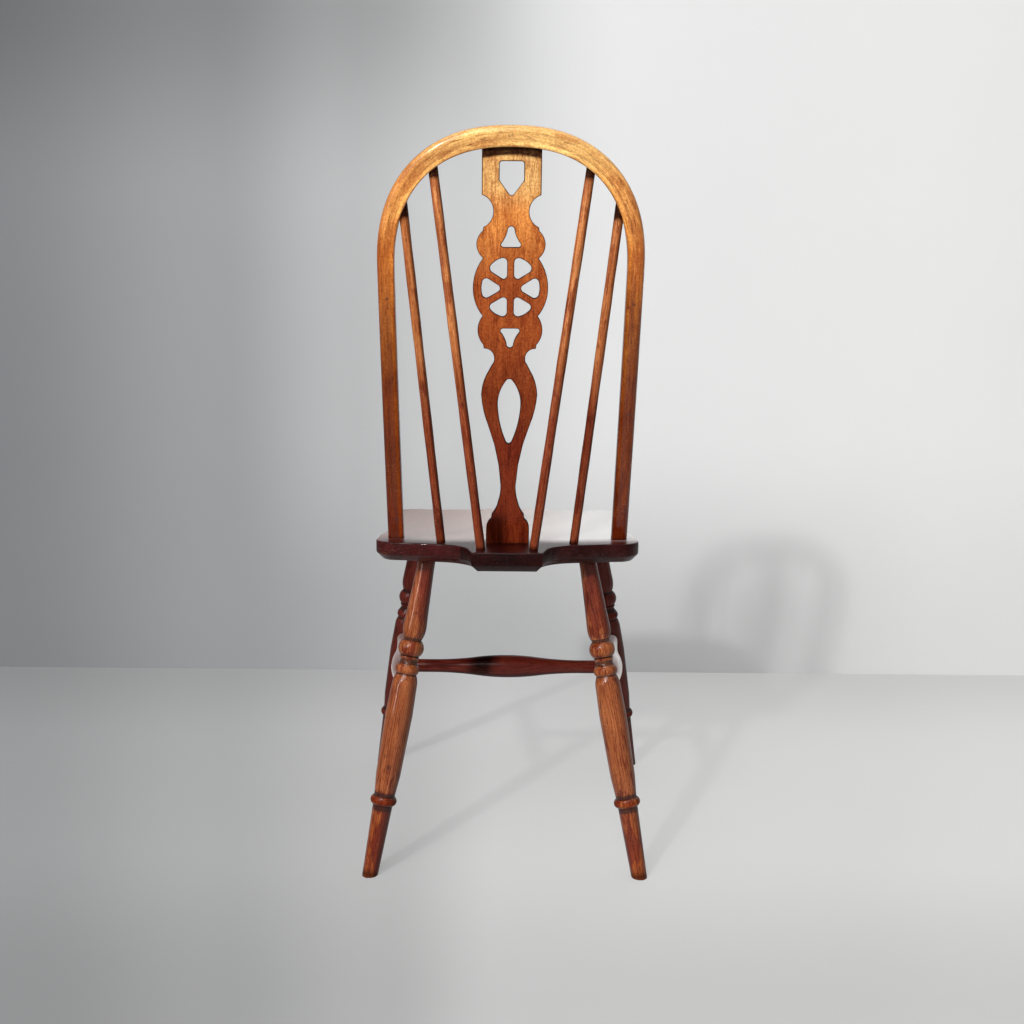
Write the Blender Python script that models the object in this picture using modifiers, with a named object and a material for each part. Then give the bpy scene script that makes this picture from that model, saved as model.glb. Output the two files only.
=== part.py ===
"""A bow-back kitchen chair with a pierced wheel splat, two plain sticks and two brace sticks.

Units are metres and +Z is up. The sitter faces +Y, so the back of the chair faces -Y.
The origin lies on the floor, under the middle of the chair's bounding box.
Inside the script Y = 0 is the line through the two feet of the bow, and the empty
chair_base moves the finished chair so that its middle stands on the origin.
"""
import math

import bmesh
import bpy
from mathutils import Matrix, Vector

# Gap left between two pieces that touch
FIT = 0.0003

# Seat plan, measured from the line through the bow's feet
SEAT_HEIGHT = 0.450
SEAT_THICKNESS = 0.0255
SEAT_CHAMFER = 0.009
SEAT_CORNER_HALF = 0.1758
SEAT_WAIST_HALF = 0.1720
SEAT_FRONT_HALF = 0.1870
SEAT_FRONT_REACH = 0.362
SEAT_REAR_REACH = 0.043
SEAT_CORNER_INSET = 0.0190
SEAT_CORNER_Y = -0.0045
SEAT_WAIST_Y = 0.0605
SEAT_FRONT_BOW = 0.0170
FRONT_CORNER_SIZE = (0.037, 0.075)
TAIL_HALF = 0.0448
TAIL_REACH = 0.1165

# Two shallow hollows that make the saddle of the seat
SADDLE_DEPTH = 0.013
SADDLE_OFFSET = 0.080
SADDLE_CENTRE_Y = 0.240
SADDLE_HALF_WIDTH = 0.150
SADDLE_HALF_LENGTH = 0.270
SADDLE_ROUNDNESS = 10.0

# Bow: its middle line lies in a plane that leans back from the seat
BACK_LEAN = math.radians(12.77)
BOW_HEIGHT = 0.5305
BOW_ARCH_RISE = 0.157
BOW_HALF = 0.1552
BOW_FOOT_HALF = 0.1512
BOW_WIDTH = 0.0212
BOW_DEPTH = 0.0210
BOW_CROWN_SWELL = 1.17
BOW_ARCH_POWER = 2.33
BOW_LEG_CURVE = 1.3
BOW_REAR_OUTER_ROUND = 0.0070
BOW_REAR_INNER_ROUND = 0.0014
BOW_FRONT_ROUND = 0.0080
BOW_TENON_RADIUS = 0.0080
BOW_TENON_ROOT = 0.008

# Wedge in the foot of each bow tenon
WEDGE_THICKNESS = 0.0024
WEDGE_TIP = 0.0009
WEDGE_WIDTH = 0.0110
WEDGE_LENGTH = 0.0120

# Sticks: where they stand on the seat, and how far below the crown they meet the bow
STICK_RADIUS = 0.0059
STICK_SOCKET = 0.014
OUTER_STICK_FOOT = (0.0882, -0.0355)
OUTER_STICK_DROP = 0.065
BRACE_STICK_FOOT = (0.0338, -0.0892)
BRACE_STICK_DROP = 0.025

# Splat: it stands in a mortise in the seat and its tongue sits in a slot in the bow
SPLAT_THICKNESS = 0.0085
SPLAT_FOOT_Y = -0.0434
SPLAT_REVEAL = 0.0050
SPLAT_MORTISE = 0.010
SPLAT_TONGUE = 0.0165
SPLAT_TONGUE_FALL = 0.0030
SPLAT_FOOT_HALF = 0.0282
SPLAT_TOP_HALF = 0.0360
WHEEL_DROP = 0.1662
WHEEL_RADIUS = 0.0465
WHEEL_CUSP_HALF = 0.0343
WHEEL_CUSP_RISE = 0.0338
WHEEL_HOLE_RADIUS = 0.0364
WHEEL_HUB_RADIUS = 0.0132
WHEEL_SPOKE_HALF = 0.0044
WHEEL_SPOKES = 6
PIN_RADIUS = 0.0012
PIN_DROP = 0.0115
PIN_SUNK = 0.0004
PIN_REACH = 0.0165

# Legs: floor position of each foot, and where its middle line meets the seat's underside
REAR_LEG_FOOT = (0.1818, -0.0742)
REAR_LEG_TOP = (0.1090, 0.0077)
FRONT_LEG_FOOT = (0.2127, 0.3440)
FRONT_LEG_TOP = (0.1424, 0.3024)
LEG_TOP_RADIUS = 0.0120
LEG_FOOT_RADIUS = 0.0105
LEG_RING_RADIUS = 0.0134
LEG_LOWEST_BEAD = 0.3435
LEG_SOCKET_WALL = 0.004
LEG_SOCKET_LONGEST = 0.016
LEG_SPARE = 0.012

# Stretchers: an H of two side rails and one cross rail
STRETCHER_DROP = 0.1958
STRETCHER_END_RADIUS = 0.0098
STRETCHER_BELLY_RADIUS = 0.0169
STRETCHER_BELLY_HALF = 0.105

# Fineness of the facets
ARC_STEP = math.radians(18)
SEAT_STEP = math.radians(12)
PIERCING_STEP = math.radians(36)
SECTION_STEP = math.radians(32)
TURNING_STEP = math.radians(24)
RAIL_STEP = math.radians(3)
LEG_SIDES = 16
RAIL_SIDES = 16
PIN_SIDES = 12
BORE_SIDES = 24
ARCH_SEGMENTS = 32
BOW_LEG_SEGMENTS = 5

# Sizes that follow from the ones above
SEAT_UNDERSIDE = SEAT_HEIGHT - SEAT_THICKNESS
CROWN_HALF_WIDTH = BOW_WIDTH * BOW_CROWN_SWELL / 2
CROWN_HALF_DEPTH = BOW_DEPTH * BOW_CROWN_SWELL / 2
BOW_CENTRE_TOP = BOW_HEIGHT - CROWN_HALF_WIDTH
BOW_SPRING = BOW_CENTRE_TOP - BOW_ARCH_RISE


def clear_scene():
    """Start from an empty scene."""
    for item in list(bpy.data.objects):
        bpy.data.objects.remove(item)


def new_collection(name):
    """Return a new collection linked to the scene."""
    made = bpy.data.collections.new(name)
    bpy.context.scene.collection.children.link(made)
    return made


clear_scene()
PARTS = new_collection("wheel_back_chair")
CUTTERS = new_collection("cutters")


# Outlines

def arc_run(start, end, bulge, step=ARC_STEP):
    """Points from start up to, not including, end, on an arc that stands bulge to the right of the way."""
    start = Vector(start)
    end = Vector(end)
    if bulge == 0:
        return [start]
    chord = end - start
    turn = 4 * math.atan(2 * bulge / chord.length)
    count = math.ceil(abs(turn) / step)
    right = Vector((chord.y, -chord.x)).normalized()
    radius = (chord.length ** 2 / 4 + bulge ** 2) / (2 * bulge)
    centre = (start + end) / 2 + right * (bulge - radius)
    spoke = start - centre
    return [centre + Matrix.Rotation(turn * i / count, 2) @ spoke for i in range(count)]


def half_outline(corners, step=ARC_STEP):
    """Points through corners given as (x, y, bulge of the run to the next corner)."""
    points = []
    for here, there in zip(corners, corners[1:]):
        points += arc_run(here[:2], there[:2], here[2], step)
    points.append(Vector(corners[-1][:2]))
    return points


def mirrored(half):
    """Close a right half, which starts and ends on the middle line, with its mirror image."""
    left = [Vector((-p.x, p.y)) for p in reversed(half[1:-1])]
    return half + left


def rounded_corners(corners, step=ARC_STEP):
    """Close an anticlockwise polygon of (x, y, radius) with each corner rounded to its radius."""
    points = []
    count = len(corners)
    for i, corner in enumerate(corners):
        here = Vector(corner[:2])
        before = (Vector(corners[i - 1][:2]) - here).normalized()
        after = (Vector(corners[(i + 1) % count][:2]) - here).normalized()
        half_angle = math.acos(max(-1.0, min(1.0, before.dot(after)))) / 2
        setback = corner[2] / math.tan(half_angle)
        sweep = math.pi - 2 * half_angle
        bulge = corner[2] * (1 - math.cos(sweep / 2))
        start = here + before * setback
        end = here + after * setback
        points += arc_run(start, end, bulge, step)
        points.append(end)
    return points


# Making solids

def add(thing, material=None):
    """Link a finished piece, or a cutter when it has no material."""
    if material is None:
        CUTTERS.objects.link(thing)
        thing.hide_render = True
        thing.display_type = "WIRE"
    else:
        PARTS.objects.link(thing)
        thing.data.materials.clear()
        thing.data.materials.append(material)
    thing.parent = BASE
    return thing


def wood(name, colour, roughness=0.35):
    """Varnished wood of one colour."""
    made = bpy.data.materials.new(name)
    made.use_nodes = True
    shader = made.node_tree.nodes["Principled BSDF"]
    shader.inputs["Base Color"].default_value = (*colour, 1)
    shader.inputs["Roughness"].default_value = roughness
    shader.inputs["Metallic"].default_value = 0.0
    return made


def steel(name, colour, roughness=0.5):
    """Darkened steel."""
    made = wood(name, colour, roughness)
    made.node_tree.nodes["Principled BSDF"].inputs["Metallic"].default_value = 1.0
    return made


def poly_curve(name, loops, closed=True, widths=None):
    """A flat curve in its own XY plane through the given loops of points."""
    curve = bpy.data.curves.new(name, "CURVE")
    curve.dimensions = "2D"
    for loop in loops:
        spline = curve.splines.new("POLY")
        spline.points.add(len(loop) - 1)
        for i, point in enumerate(loop):
            spline.points[i].co = (point[0], point[1], 0, 1)
            if widths:
                spline.points[i].radius = widths[i]
        spline.use_cyclic_u = closed
    return curve


def curve_to_mesh(name, curve, flat=True):
    """Turn a curve into a closed mesh with welded caps and outward faces; a flat board has whole faces."""
    holder = bpy.data.objects.new(name, curve)
    bpy.context.scene.collection.objects.link(holder)
    depsgraph = bpy.context.evaluated_depsgraph_get()
    mesh = bpy.data.meshes.new_from_object(holder.evaluated_get(depsgraph))
    mesh.name = name
    shape = bmesh.new()
    shape.from_mesh(mesh)
    bmesh.ops.remove_doubles(shape, verts=shape.verts, dist=1e-6)
    if flat:
        bmesh.ops.dissolve_limit(shape, angle_limit=math.radians(0.1), verts=shape.verts, edges=shape.edges)
    bmesh.ops.recalc_face_normals(shape, faces=shape.faces)
    shape.to_mesh(mesh)
    shape.free()
    bpy.data.objects.remove(holder)
    bpy.data.curves.remove(curve)
    return mesh


def slab(name, loops, thickness, frame, material=None):
    """A board cut to the given loops, centred on its frame's XY plane; inner loops are holes."""
    curve = poly_curve(name, loops)
    curve.fill_mode = "BOTH"
    curve.extrude = thickness / 2
    thing = bpy.data.objects.new(name, curve_to_mesh(name, curve))
    thing.matrix_local = frame
    return add(thing, material)


def along(start, end):
    """A frame at start whose Z axis runs towards end."""
    way = Vector(end) - Vector(start)
    turn = Vector((0, 0, 1)).rotation_difference(way.normalized())
    return Matrix.Translation(start) @ turn.to_matrix().to_4x4()


def bore(name, start, end, radius):
    """A drill from start to end whose flats clear a round of the given radius by FIT."""
    length = (Vector(end) - Vector(start)).length
    size = (radius + FIT) / math.cos(math.pi / BORE_SIDES)
    shape = bmesh.new()
    bmesh.ops.create_cone(shape, cap_ends=True, segments=BORE_SIDES, radius1=size, radius2=size, depth=length)
    bmesh.ops.translate(shape, verts=shape.verts, vec=(0, 0, length / 2))
    mesh = bpy.data.meshes.new(name)
    shape.to_mesh(mesh)
    shape.free()
    thing = bpy.data.objects.new(name, mesh)
    thing.matrix_local = along(start, end)
    return add(thing)


def block(name, low, high, material=None):
    """A rectangular block between two corners."""
    low = Vector(low)
    high = Vector(high)
    shape = bmesh.new()
    bmesh.ops.create_cube(shape, size=1.0)
    bmesh.ops.scale(shape, verts=shape.verts, vec=high - low)
    bmesh.ops.translate(shape, verts=shape.verts, vec=(low + high) / 2)
    mesh = bpy.data.meshes.new(name)
    shape.to_mesh(mesh)
    shape.free()
    return add(bpy.data.objects.new(name, mesh), material)


def turned(name, profile, sides, frame, material):
    """A turned piece: profile is (radius, height) from top to bottom, spun round the frame's Z axis."""
    mesh = bpy.data.meshes.new(name)
    points = [(0.0, profile[0][1])] + list(profile) + [(0.0, profile[-1][1])]
    mesh.from_pydata([(r, 0, z) for r, z in points], [(i, i + 1) for i in range(len(points) - 1)], [])
    thing = bpy.data.objects.new(name, mesh)
    thing.matrix_local = frame
    screw = thing.modifiers.new("turning", "SCREW")
    screw.steps = sides
    screw.render_steps = sides
    screw.use_merge_vertices = True
    screw.merge_threshold = 1e-5
    screw.use_smooth_shade = True
    return add(thing, material)


def cut(thing, cutter, operation="DIFFERENCE"):
    """Cut a piece with a cutter, or join the two."""
    step = thing.modifiers.new(cutter.name, "BOOLEAN")
    step.operation = operation
    step.solver = "EXACT"
    step.object = cutter


def side_name(side):
    """Left and right as the sitter has them."""
    return "right" if side > 0 else "left"


# Bow geometry, in the plane of its middle line: x across and s up the lean

def bow_half_at(s):
    """Half the distance between the bow's middle lines at height s up the lean."""
    if s <= BOW_SPRING:
        down = (BOW_SPRING - s) / BOW_SPRING
        return BOW_HALF - (BOW_HALF - BOW_FOOT_HALF) * down ** BOW_LEG_CURVE
    up = min(1.0, (s - BOW_SPRING) / BOW_ARCH_RISE)
    return BOW_HALF * (1 - up ** BOW_ARCH_POWER) ** (1 / BOW_ARCH_POWER)


def bow_path():
    """Middle line from the right foot over the crown to the left foot."""
    start = -BOW_DEPTH
    rise = BOW_SPRING - start
    leg = [start + rise * i / BOW_LEG_SEGMENTS for i in range(BOW_LEG_SEGMENTS)]
    right = [Vector((bow_half_at(s), s)) for s in leg]
    power = 2 / BOW_ARCH_POWER
    arch = []
    for i in range(ARCH_SEGMENTS + 1):
        angle = math.pi * i / ARCH_SEGMENTS
        across = math.copysign(abs(math.cos(angle)) ** power, math.cos(angle))
        arch.append(Vector((BOW_HALF * across, BOW_SPRING + BOW_ARCH_RISE * abs(math.sin(angle)) ** power)))
    left = [Vector((-p.x, p.y)) for p in reversed(right)]
    return right + arch + left


def bow_swell(s):
    """How much thicker the bow is at height s than at its feet."""
    up = max(0.0, (s - BOW_SPRING) / BOW_ARCH_RISE)
    return 1 + (BOW_CROWN_SWELL - 1) * up


def lean_frame(foot_y, lean):
    """A frame on the seat whose X runs across, Y up the lean, and Z out of the back."""
    return Matrix.Translation((0, foot_y, SEAT_HEIGHT)) @ Matrix.Rotation(math.pi / 2 + lean, 4, "X")


BOW_FRAME = lean_frame(0.0, BACK_LEAN)

# The splat stands on the seat and meets the bow's underside, its back set in from the bow's back
CROWN_UNDERSIDE = BOW_FRAME @ Vector((
    0, BOW_CENTRE_TOP - CROWN_HALF_WIDTH, CROWN_HALF_DEPTH - SPLAT_REVEAL - SPLAT_THICKNESS / 2))
SPLAT_RISE = CROWN_UNDERSIDE - Vector((0, SPLAT_FOOT_Y, SEAT_HEIGHT))
SPLAT_LEAN = math.atan2(-SPLAT_RISE.y, SPLAT_RISE.z)
SPLAT_LENGTH = SPLAT_RISE.length
SPLAT_FRAME = lean_frame(SPLAT_FOOT_Y, SPLAT_LEAN)

# Middle of the chair from front to back
CROWN_ROUND = BOW_REAR_OUTER_ROUND * BOW_CROWN_SWELL
CROWN_REAR = BOW_FRAME @ Vector((0, BOW_HEIGHT - CROWN_ROUND, CROWN_HALF_DEPTH - CROWN_ROUND))
REAR_REACH = max(TAIL_REACH, CROWN_ROUND - CROWN_REAR.y)
BASE = bpy.data.objects.new("chair_base", None)
bpy.context.scene.collection.objects.link(BASE)
BASE.location.y = (REAR_REACH - SEAT_FRONT_REACH) / 2


# Seat

def saddle_fall(x, y):
    """How far the saddle lies below the seat's rim at a place on the seat."""
    sphere = SADDLE_ROUNDNESS * SADDLE_DEPTH
    rim = math.sqrt(1 - (1 - 1 / SADDLE_ROUNDNESS) ** 2)
    out_x = (abs(x) - SADDLE_OFFSET) / SADDLE_HALF_WIDTH * rim
    out_y = (y - SADDLE_CENTRE_Y) / SADDLE_HALF_LENGTH * rim
    inside = 1 - out_x ** 2 - out_y ** 2
    return max(0.0, sphere * math.sqrt(max(0.0, inside)) - sphere + SADDLE_DEPTH)


def saddle_cutter(side):
    """One of the two hollows: the low cap of a flattened ball."""
    sphere = SADDLE_ROUNDNESS * SADDLE_DEPTH
    rim = math.sqrt(1 - (1 - 1 / SADDLE_ROUNDNESS) ** 2)
    shape = bmesh.new()
    bmesh.ops.create_uvsphere(shape, u_segments=36, v_segments=40, radius=1.0)
    size = (SADDLE_HALF_WIDTH / rim, SADDLE_HALF_LENGTH / rim, sphere)
    bmesh.ops.scale(shape, verts=shape.verts, vec=size)
    name = "saddle_hollow_" + side_name(side)
    mesh = bpy.data.meshes.new(name)
    shape.to_mesh(mesh)
    shape.free()
    thing = bpy.data.objects.new(name, mesh)
    thing.location = (side * SADDLE_OFFSET, SADDLE_CENTRE_Y, SEAT_HEIGHT - SADDLE_DEPTH + sphere)
    return add(thing)


def seat_outline():
    """Plan of the seat: a tail between the brace sticks, lobes under the bow, a flared front."""
    front_corner_y = SEAT_FRONT_REACH - SEAT_FRONT_BOW
    front_side_y = front_corner_y - FRONT_CORNER_SIZE[1]
    half = [
        (0.0, -TAIL_REACH, 0.0),
        (TAIL_HALF, -TAIL_REACH, -0.0004),
        (TAIL_HALF + 0.0055, -TAIL_REACH + 0.028, -0.0055),
        (TAIL_HALF + 0.0370, -SEAT_REAR_REACH - 0.0146, -0.0018),
        (SEAT_CORNER_HALF - SEAT_CORNER_INSET, -SEAT_REAR_REACH, 0.0080),
        (SEAT_CORNER_HALF, SEAT_CORNER_Y, 0.0015),
        (SEAT_WAIST_HALF, SEAT_WAIST_Y, -0.0035),
        (SEAT_FRONT_HALF, front_side_y, 0.0135),
        (SEAT_FRONT_HALF - FRONT_CORNER_SIZE[0], front_corner_y, 0.0043),
        (0.0, SEAT_FRONT_REACH, 0.0),
    ]
    return mirrored(half_outline(half, SEAT_STEP))


def chamfer_underside(mesh):
    """Take the lower arris off all round."""
    shape = bmesh.new()
    shape.from_mesh(mesh)
    low = min(v.co.z for v in shape.verts) + 1e-5
    rim = [e for e in shape.edges if all(v.co.z < low for v in e.verts)]
    bmesh.ops.bevel(shape, geom=rim, offset=SEAT_CHAMFER, affect="EDGES", segments=1, profile=0.5,
                    material=-1)
    shape.to_mesh(mesh)
    shape.free()


def make_seat(material):
    """The seat board with its chamfer and its saddle."""
    frame = Matrix.Translation((0, 0, SEAT_HEIGHT - SEAT_THICKNESS / 2))
    seat = slab("seat", [seat_outline()], SEAT_THICKNESS, frame, material)
    chamfer_underside(seat.data)
    for side in (1, -1):
        cut(seat, saddle_cutter(side))
    return seat


# Bow

def bow_section():
    """Flat back with one soft and one crisp arris, and a rounded front."""
    w = BOW_WIDTH / 2
    d = BOW_DEPTH / 2
    return rounded_corners([
        (-w, -d, BOW_FRONT_ROUND),
        (w, -d, BOW_FRONT_ROUND),
        (w, d, BOW_REAR_OUTER_ROUND),
        (-w, d, BOW_REAR_INNER_ROUND),
    ], SECTION_STEP)


def make_bow(material):
    """The bent bow, cut to the seat, with a round tenon below each foot."""
    section = bpy.data.objects.new("bow_section", poly_curve("bow_section", [bow_section()]))
    bpy.context.scene.collection.objects.link(section)
    path = bow_path()
    curve = poly_curve("bow", [path], closed=False, widths=[bow_swell(p.y) for p in path])
    curve.bevel_mode = "OBJECT"
    curve.bevel_object = section
    curve.use_fill_caps = True
    bow = bpy.data.objects.new("bow", curve_to_mesh("bow", curve, flat=False))
    bpy.data.objects.remove(section)
    bow.matrix_local = BOW_FRAME
    add(bow, material)
    reach = BOW_HALF + BOW_WIDTH
    above_seat = SEAT_HEIGHT + FIT
    cut(bow, block("bow_shoulder_cut", (-reach, -reach, SEAT_HEIGHT - reach), (reach, reach, above_seat)))
    for side in (1, -1):
        cut(bow, tenon_core(side), "UNION")
    cut(bow, block("bow_tenon_cut", (-reach, -reach, SEAT_UNDERSIDE - reach), (reach, reach, SEAT_UNDERSIDE)))
    return bow


def tenon_ends(side, spare):
    """Middle line of a bow tenon, from inside the bow to a spare length under the seat."""
    x = side * bow_half_at(0.0)
    foot = (SEAT_THICKNESS + spare) / math.cos(BACK_LEAN)
    return BOW_FRAME @ Vector((x, BOW_TENON_ROOT, 0)), BOW_FRAME @ Vector((x, -foot, 0))


def tenon_core(side):
    """The round of a bow tenon, to be joined to the bow."""
    top, foot = tenon_ends(side, SEAT_CHAMFER)
    return bore("bow_tenon_core_" + side_name(side), top, foot, BOW_TENON_RADIUS - FIT)


def make_wedge(side, bow, material):
    """A wedge driven up into a saw cut across the tenon's foot."""
    foot = BOW_FRAME @ Vector((side * bow_half_at(0.0), -SEAT_THICKNESS / math.cos(BACK_LEAN), 0))
    name = "bow_wedge_" + side_name(side)
    wedge = block(name, (foot.x - 0.5 * WEDGE_THICKNESS, foot.y - WEDGE_WIDTH / 2, SEAT_UNDERSIDE),
                  (foot.x + 0.5 * WEDGE_THICKNESS, foot.y + WEDGE_WIDTH / 2, SEAT_UNDERSIDE + WEDGE_LENGTH),
                  material)
    for vertex in wedge.data.vertices:
        if vertex.co.z > SEAT_UNDERSIDE + WEDGE_LENGTH / 2:
            vertex.co.x = foot.x + (vertex.co.x - foot.x) * WEDGE_TIP / WEDGE_THICKNESS
    slit = WEDGE_THICKNESS / 2 + FIT
    wide = 2 * BOW_TENON_RADIUS
    cut(bow, block("saw_cut_" + side_name(side), (foot.x - slit, foot.y - wide, SEAT_UNDERSIDE - wide),
                   (foot.x + slit, foot.y + wide, SEAT_UNDERSIDE + WEDGE_LENGTH + FIT)))
    return wedge


# Sticks

def stick_ends(foot, drop, side):
    """Middle line of a stick, from the floor of its seat socket to the middle of the bow."""
    s = BOW_CENTRE_TOP - drop
    top = BOW_FRAME @ Vector((side * bow_half_at(s), s, 0))
    stand = Vector((side * foot[0], foot[1], SEAT_HEIGHT))
    way = (top - stand).normalized()
    return stand - way * STICK_SOCKET, top, way


def make_stick(name, foot, drop, side, seat, bow, material):
    """A straight stick and its two sockets."""
    low, high, way = stick_ends(foot, drop, side)
    curve = bpy.data.curves.new(name, "CURVE")
    curve.dimensions = "3D"
    spline = curve.splines.new("POLY")
    spline.points.add(1)
    spline.points[0].co = (*low, 1)
    spline.points[1].co = (*high, 1)
    curve.bevel_depth = STICK_RADIUS
    curve.bevel_resolution = 4
    curve.use_fill_caps = True
    add(bpy.data.objects.new(name, curve), material)
    cut(seat, bore(name + "_seat_bore", low - way * FIT, low + way * 2 * STICK_SOCKET, STICK_RADIUS))
    cut(bow, bore(name + "_bow_bore", high - way * 2 * BOW_WIDTH, high + way * FIT, STICK_RADIUS))


# Splat

def splat_half():
    """Right half of the splat's outline, from the bottom of its foot to the top of its tongue."""
    top = SPLAT_LENGTH
    wheel = top - WHEEL_DROP
    cusp = WHEEL_CUSP_HALF
    wheel_bulge = WHEEL_RADIUS - cusp
    # The tongue's end runs parallel to the crown of the bow
    tongue = top + SPLAT_TONGUE
    return [
        (0.0, -SPLAT_MORTISE, 0.0),
        (SPLAT_FOOT_HALF, -SPLAT_MORTISE, 0.0),
        (SPLAT_FOOT_HALF, 0.0220, 0.0016),
        (0.0218, 0.0350, 0.0),
        (0.0210, 0.0410, -0.0012),
        (0.0130, 0.0575, -0.0010),
        (0.0098, 0.0800, -0.0032),
        (0.0268, wheel - 0.1712, 0.0016),
        (0.0356, wheel - 0.1320, 0.0011),
        (0.0303, wheel - 0.1096, 0.0),
        (0.0222, wheel - 0.0944, -0.0009),
        (0.0195, wheel - 0.0865, -0.0040),
        (0.0326, wheel - 0.0740, 0.0),
        (0.0334, wheel - 0.0690, 0.0066),
        (cusp, wheel - WHEEL_CUSP_RISE, wheel_bulge),
        (cusp, wheel + WHEEL_CUSP_RISE, 0.0078),
        (0.0346, wheel + 0.0690, 0.0),
        (0.0338, wheel + 0.0735, -0.0130),
        (SPLAT_TOP_HALF, wheel + 0.1110, 0.0),
        (SPLAT_TOP_HALF, tongue - SPLAT_TONGUE_FALL, 0.0),
        (0.0, tongue, 0.0),
    ]


def wheel_hole(turn, wheel):
    """One opening between two spokes, as a rounded wedge that looks along turn."""
    half = math.pi / WHEEL_SPOKES
    start = WHEEL_SPOKE_HALF / math.sin(half)
    edge = math.asin(WHEEL_SPOKE_HALF / WHEEL_HOLE_RADIUS)
    far_x = WHEEL_HOLE_RADIUS * math.cos(half - edge)
    far_y = WHEEL_HOLE_RADIUS * math.sin(half - edge)
    corners = rounded_corners([
        (start, 0.0, WHEEL_HUB_RADIUS - start),
        (far_x, -far_y, 0.0052),
        (WHEEL_HOLE_RADIUS, 0.0, 0.020),
        (far_x, far_y, 0.0052),
    ], PIERCING_STEP)
    spin = Matrix.Rotation(turn, 2)
    return [spin @ p + Vector((0, wheel)) for p in corners]


def splat_holes():
    """The piercings: house shape, bell, wheel, lower bell and almond."""
    top = SPLAT_LENGTH
    wheel = top - WHEEL_DROP
    house = rounded_corners([
        (0.0, top - 0.0578, 0.0038),
        (0.0148, top - 0.0382, 0.0050),
        (0.0147, top - 0.0162, 0.0033),
        (-0.0147, top - 0.0162, 0.0033),
        (-0.0148, top - 0.0382, 0.0050),
    ], PIERCING_STEP)
    upper = mirrored(half_outline([
        (0.0, wheel + 0.0482, 0.0),
        (0.0096, wheel + 0.0482, 0.0012),
        (0.0120, wheel + 0.0516, -0.0010),
        (0.0043, wheel + 0.0688, 0.0014),
        (0.0, wheel + 0.0744, 0.0),
    ]))
    lower = mirrored(half_outline([
        (0.0, wheel - 0.0729, 0.0013),
        (0.0040, wheel - 0.0683, -0.0010),
        (0.0118, wheel - 0.0526, 0.0012),
        (0.0094, wheel - 0.0490, 0.0),
        (0.0, wheel - 0.0490, 0.0),
    ]))
    almond = mirrored(half_outline([
        (0.0, wheel - 0.1958, 0.0006),
        (0.0036, wheel - 0.1930, 0.0020),
        (0.0142, wheel - 0.1490, 0.0036),
        (0.0036, wheel - 0.1140, 0.0005),
        (0.0, wheel - 0.1123, 0.0),
    ]))
    wheel_holes = [wheel_hole(2 * math.pi * i / WHEEL_SPOKES, wheel) for i in range(WHEEL_SPOKES)]
    return [house, upper, lower, almond] + wheel_holes


def make_splat(seat, bow, material):
    """The pierced splat, its mortise in the seat and its slot in the bow."""
    outline = mirrored(half_outline(splat_half()))
    splat = slab("splat", [outline] + splat_holes(), SPLAT_THICKNESS, SPLAT_FRAME, material)
    room = SPLAT_THICKNESS + 2 * FIT
    foot = SPLAT_FOOT_HALF + FIT
    mortise = [(-foot, -SPLAT_MORTISE - FIT), (foot, -SPLAT_MORTISE - FIT),
               (foot, SPLAT_MORTISE), (-foot, SPLAT_MORTISE)]
    cut(seat, slab("splat_mortise", [mortise], room, SPLAT_FRAME))
    half = SPLAT_TOP_HALF + FIT
    low = SPLAT_LENGTH - BOW_WIDTH
    high = SPLAT_LENGTH + SPLAT_TONGUE + FIT
    shoulder = high - SPLAT_TONGUE_FALL
    slot = [(-half, low), (half, low), (half, shoulder), (0.0, high), (-half, shoulder)]
    cut(bow, slab("splat_slot", [slot], room, SPLAT_FRAME))
    return splat


def make_pin(splat, bow, material):
    """A pin driven through the back of the bow into the splat's tongue."""
    s = BOW_HEIGHT - PIN_DROP
    head = BOW_FRAME @ Vector((0, s, CROWN_HALF_DEPTH - PIN_SUNK))
    tip = BOW_FRAME @ Vector((0, s, CROWN_HALF_DEPTH - PIN_SUNK - PIN_REACH))
    way = (head - tip).normalized()
    profile = [(PIN_RADIUS, PIN_REACH), (PIN_RADIUS, 0.0)]
    pin = turned("splat_pin", profile, PIN_SIDES, along(tip, head), material)
    bow_bore = bore("pin_bore", tip - way * FIT, head + way * BOW_DEPTH, PIN_RADIUS)
    cut(splat, bow_bore)
    cut(bow, bow_bore)
    return pin


# Legs

def leg_axis(foot, top, side):
    """Foot and top of a leg's middle line: on the floor and at the seat's underside."""
    return (Vector((side * foot[0], foot[1], 0.0)), Vector((side * top[0], top[1], SEAT_UNDERSIDE)))


def leg_point(foot, top, side, height):
    """The point of a leg's middle line at a height above the floor."""
    low, high = leg_axis(foot, top, side)
    return low.lerp(high, height / SEAT_UNDERSIDE)


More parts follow.
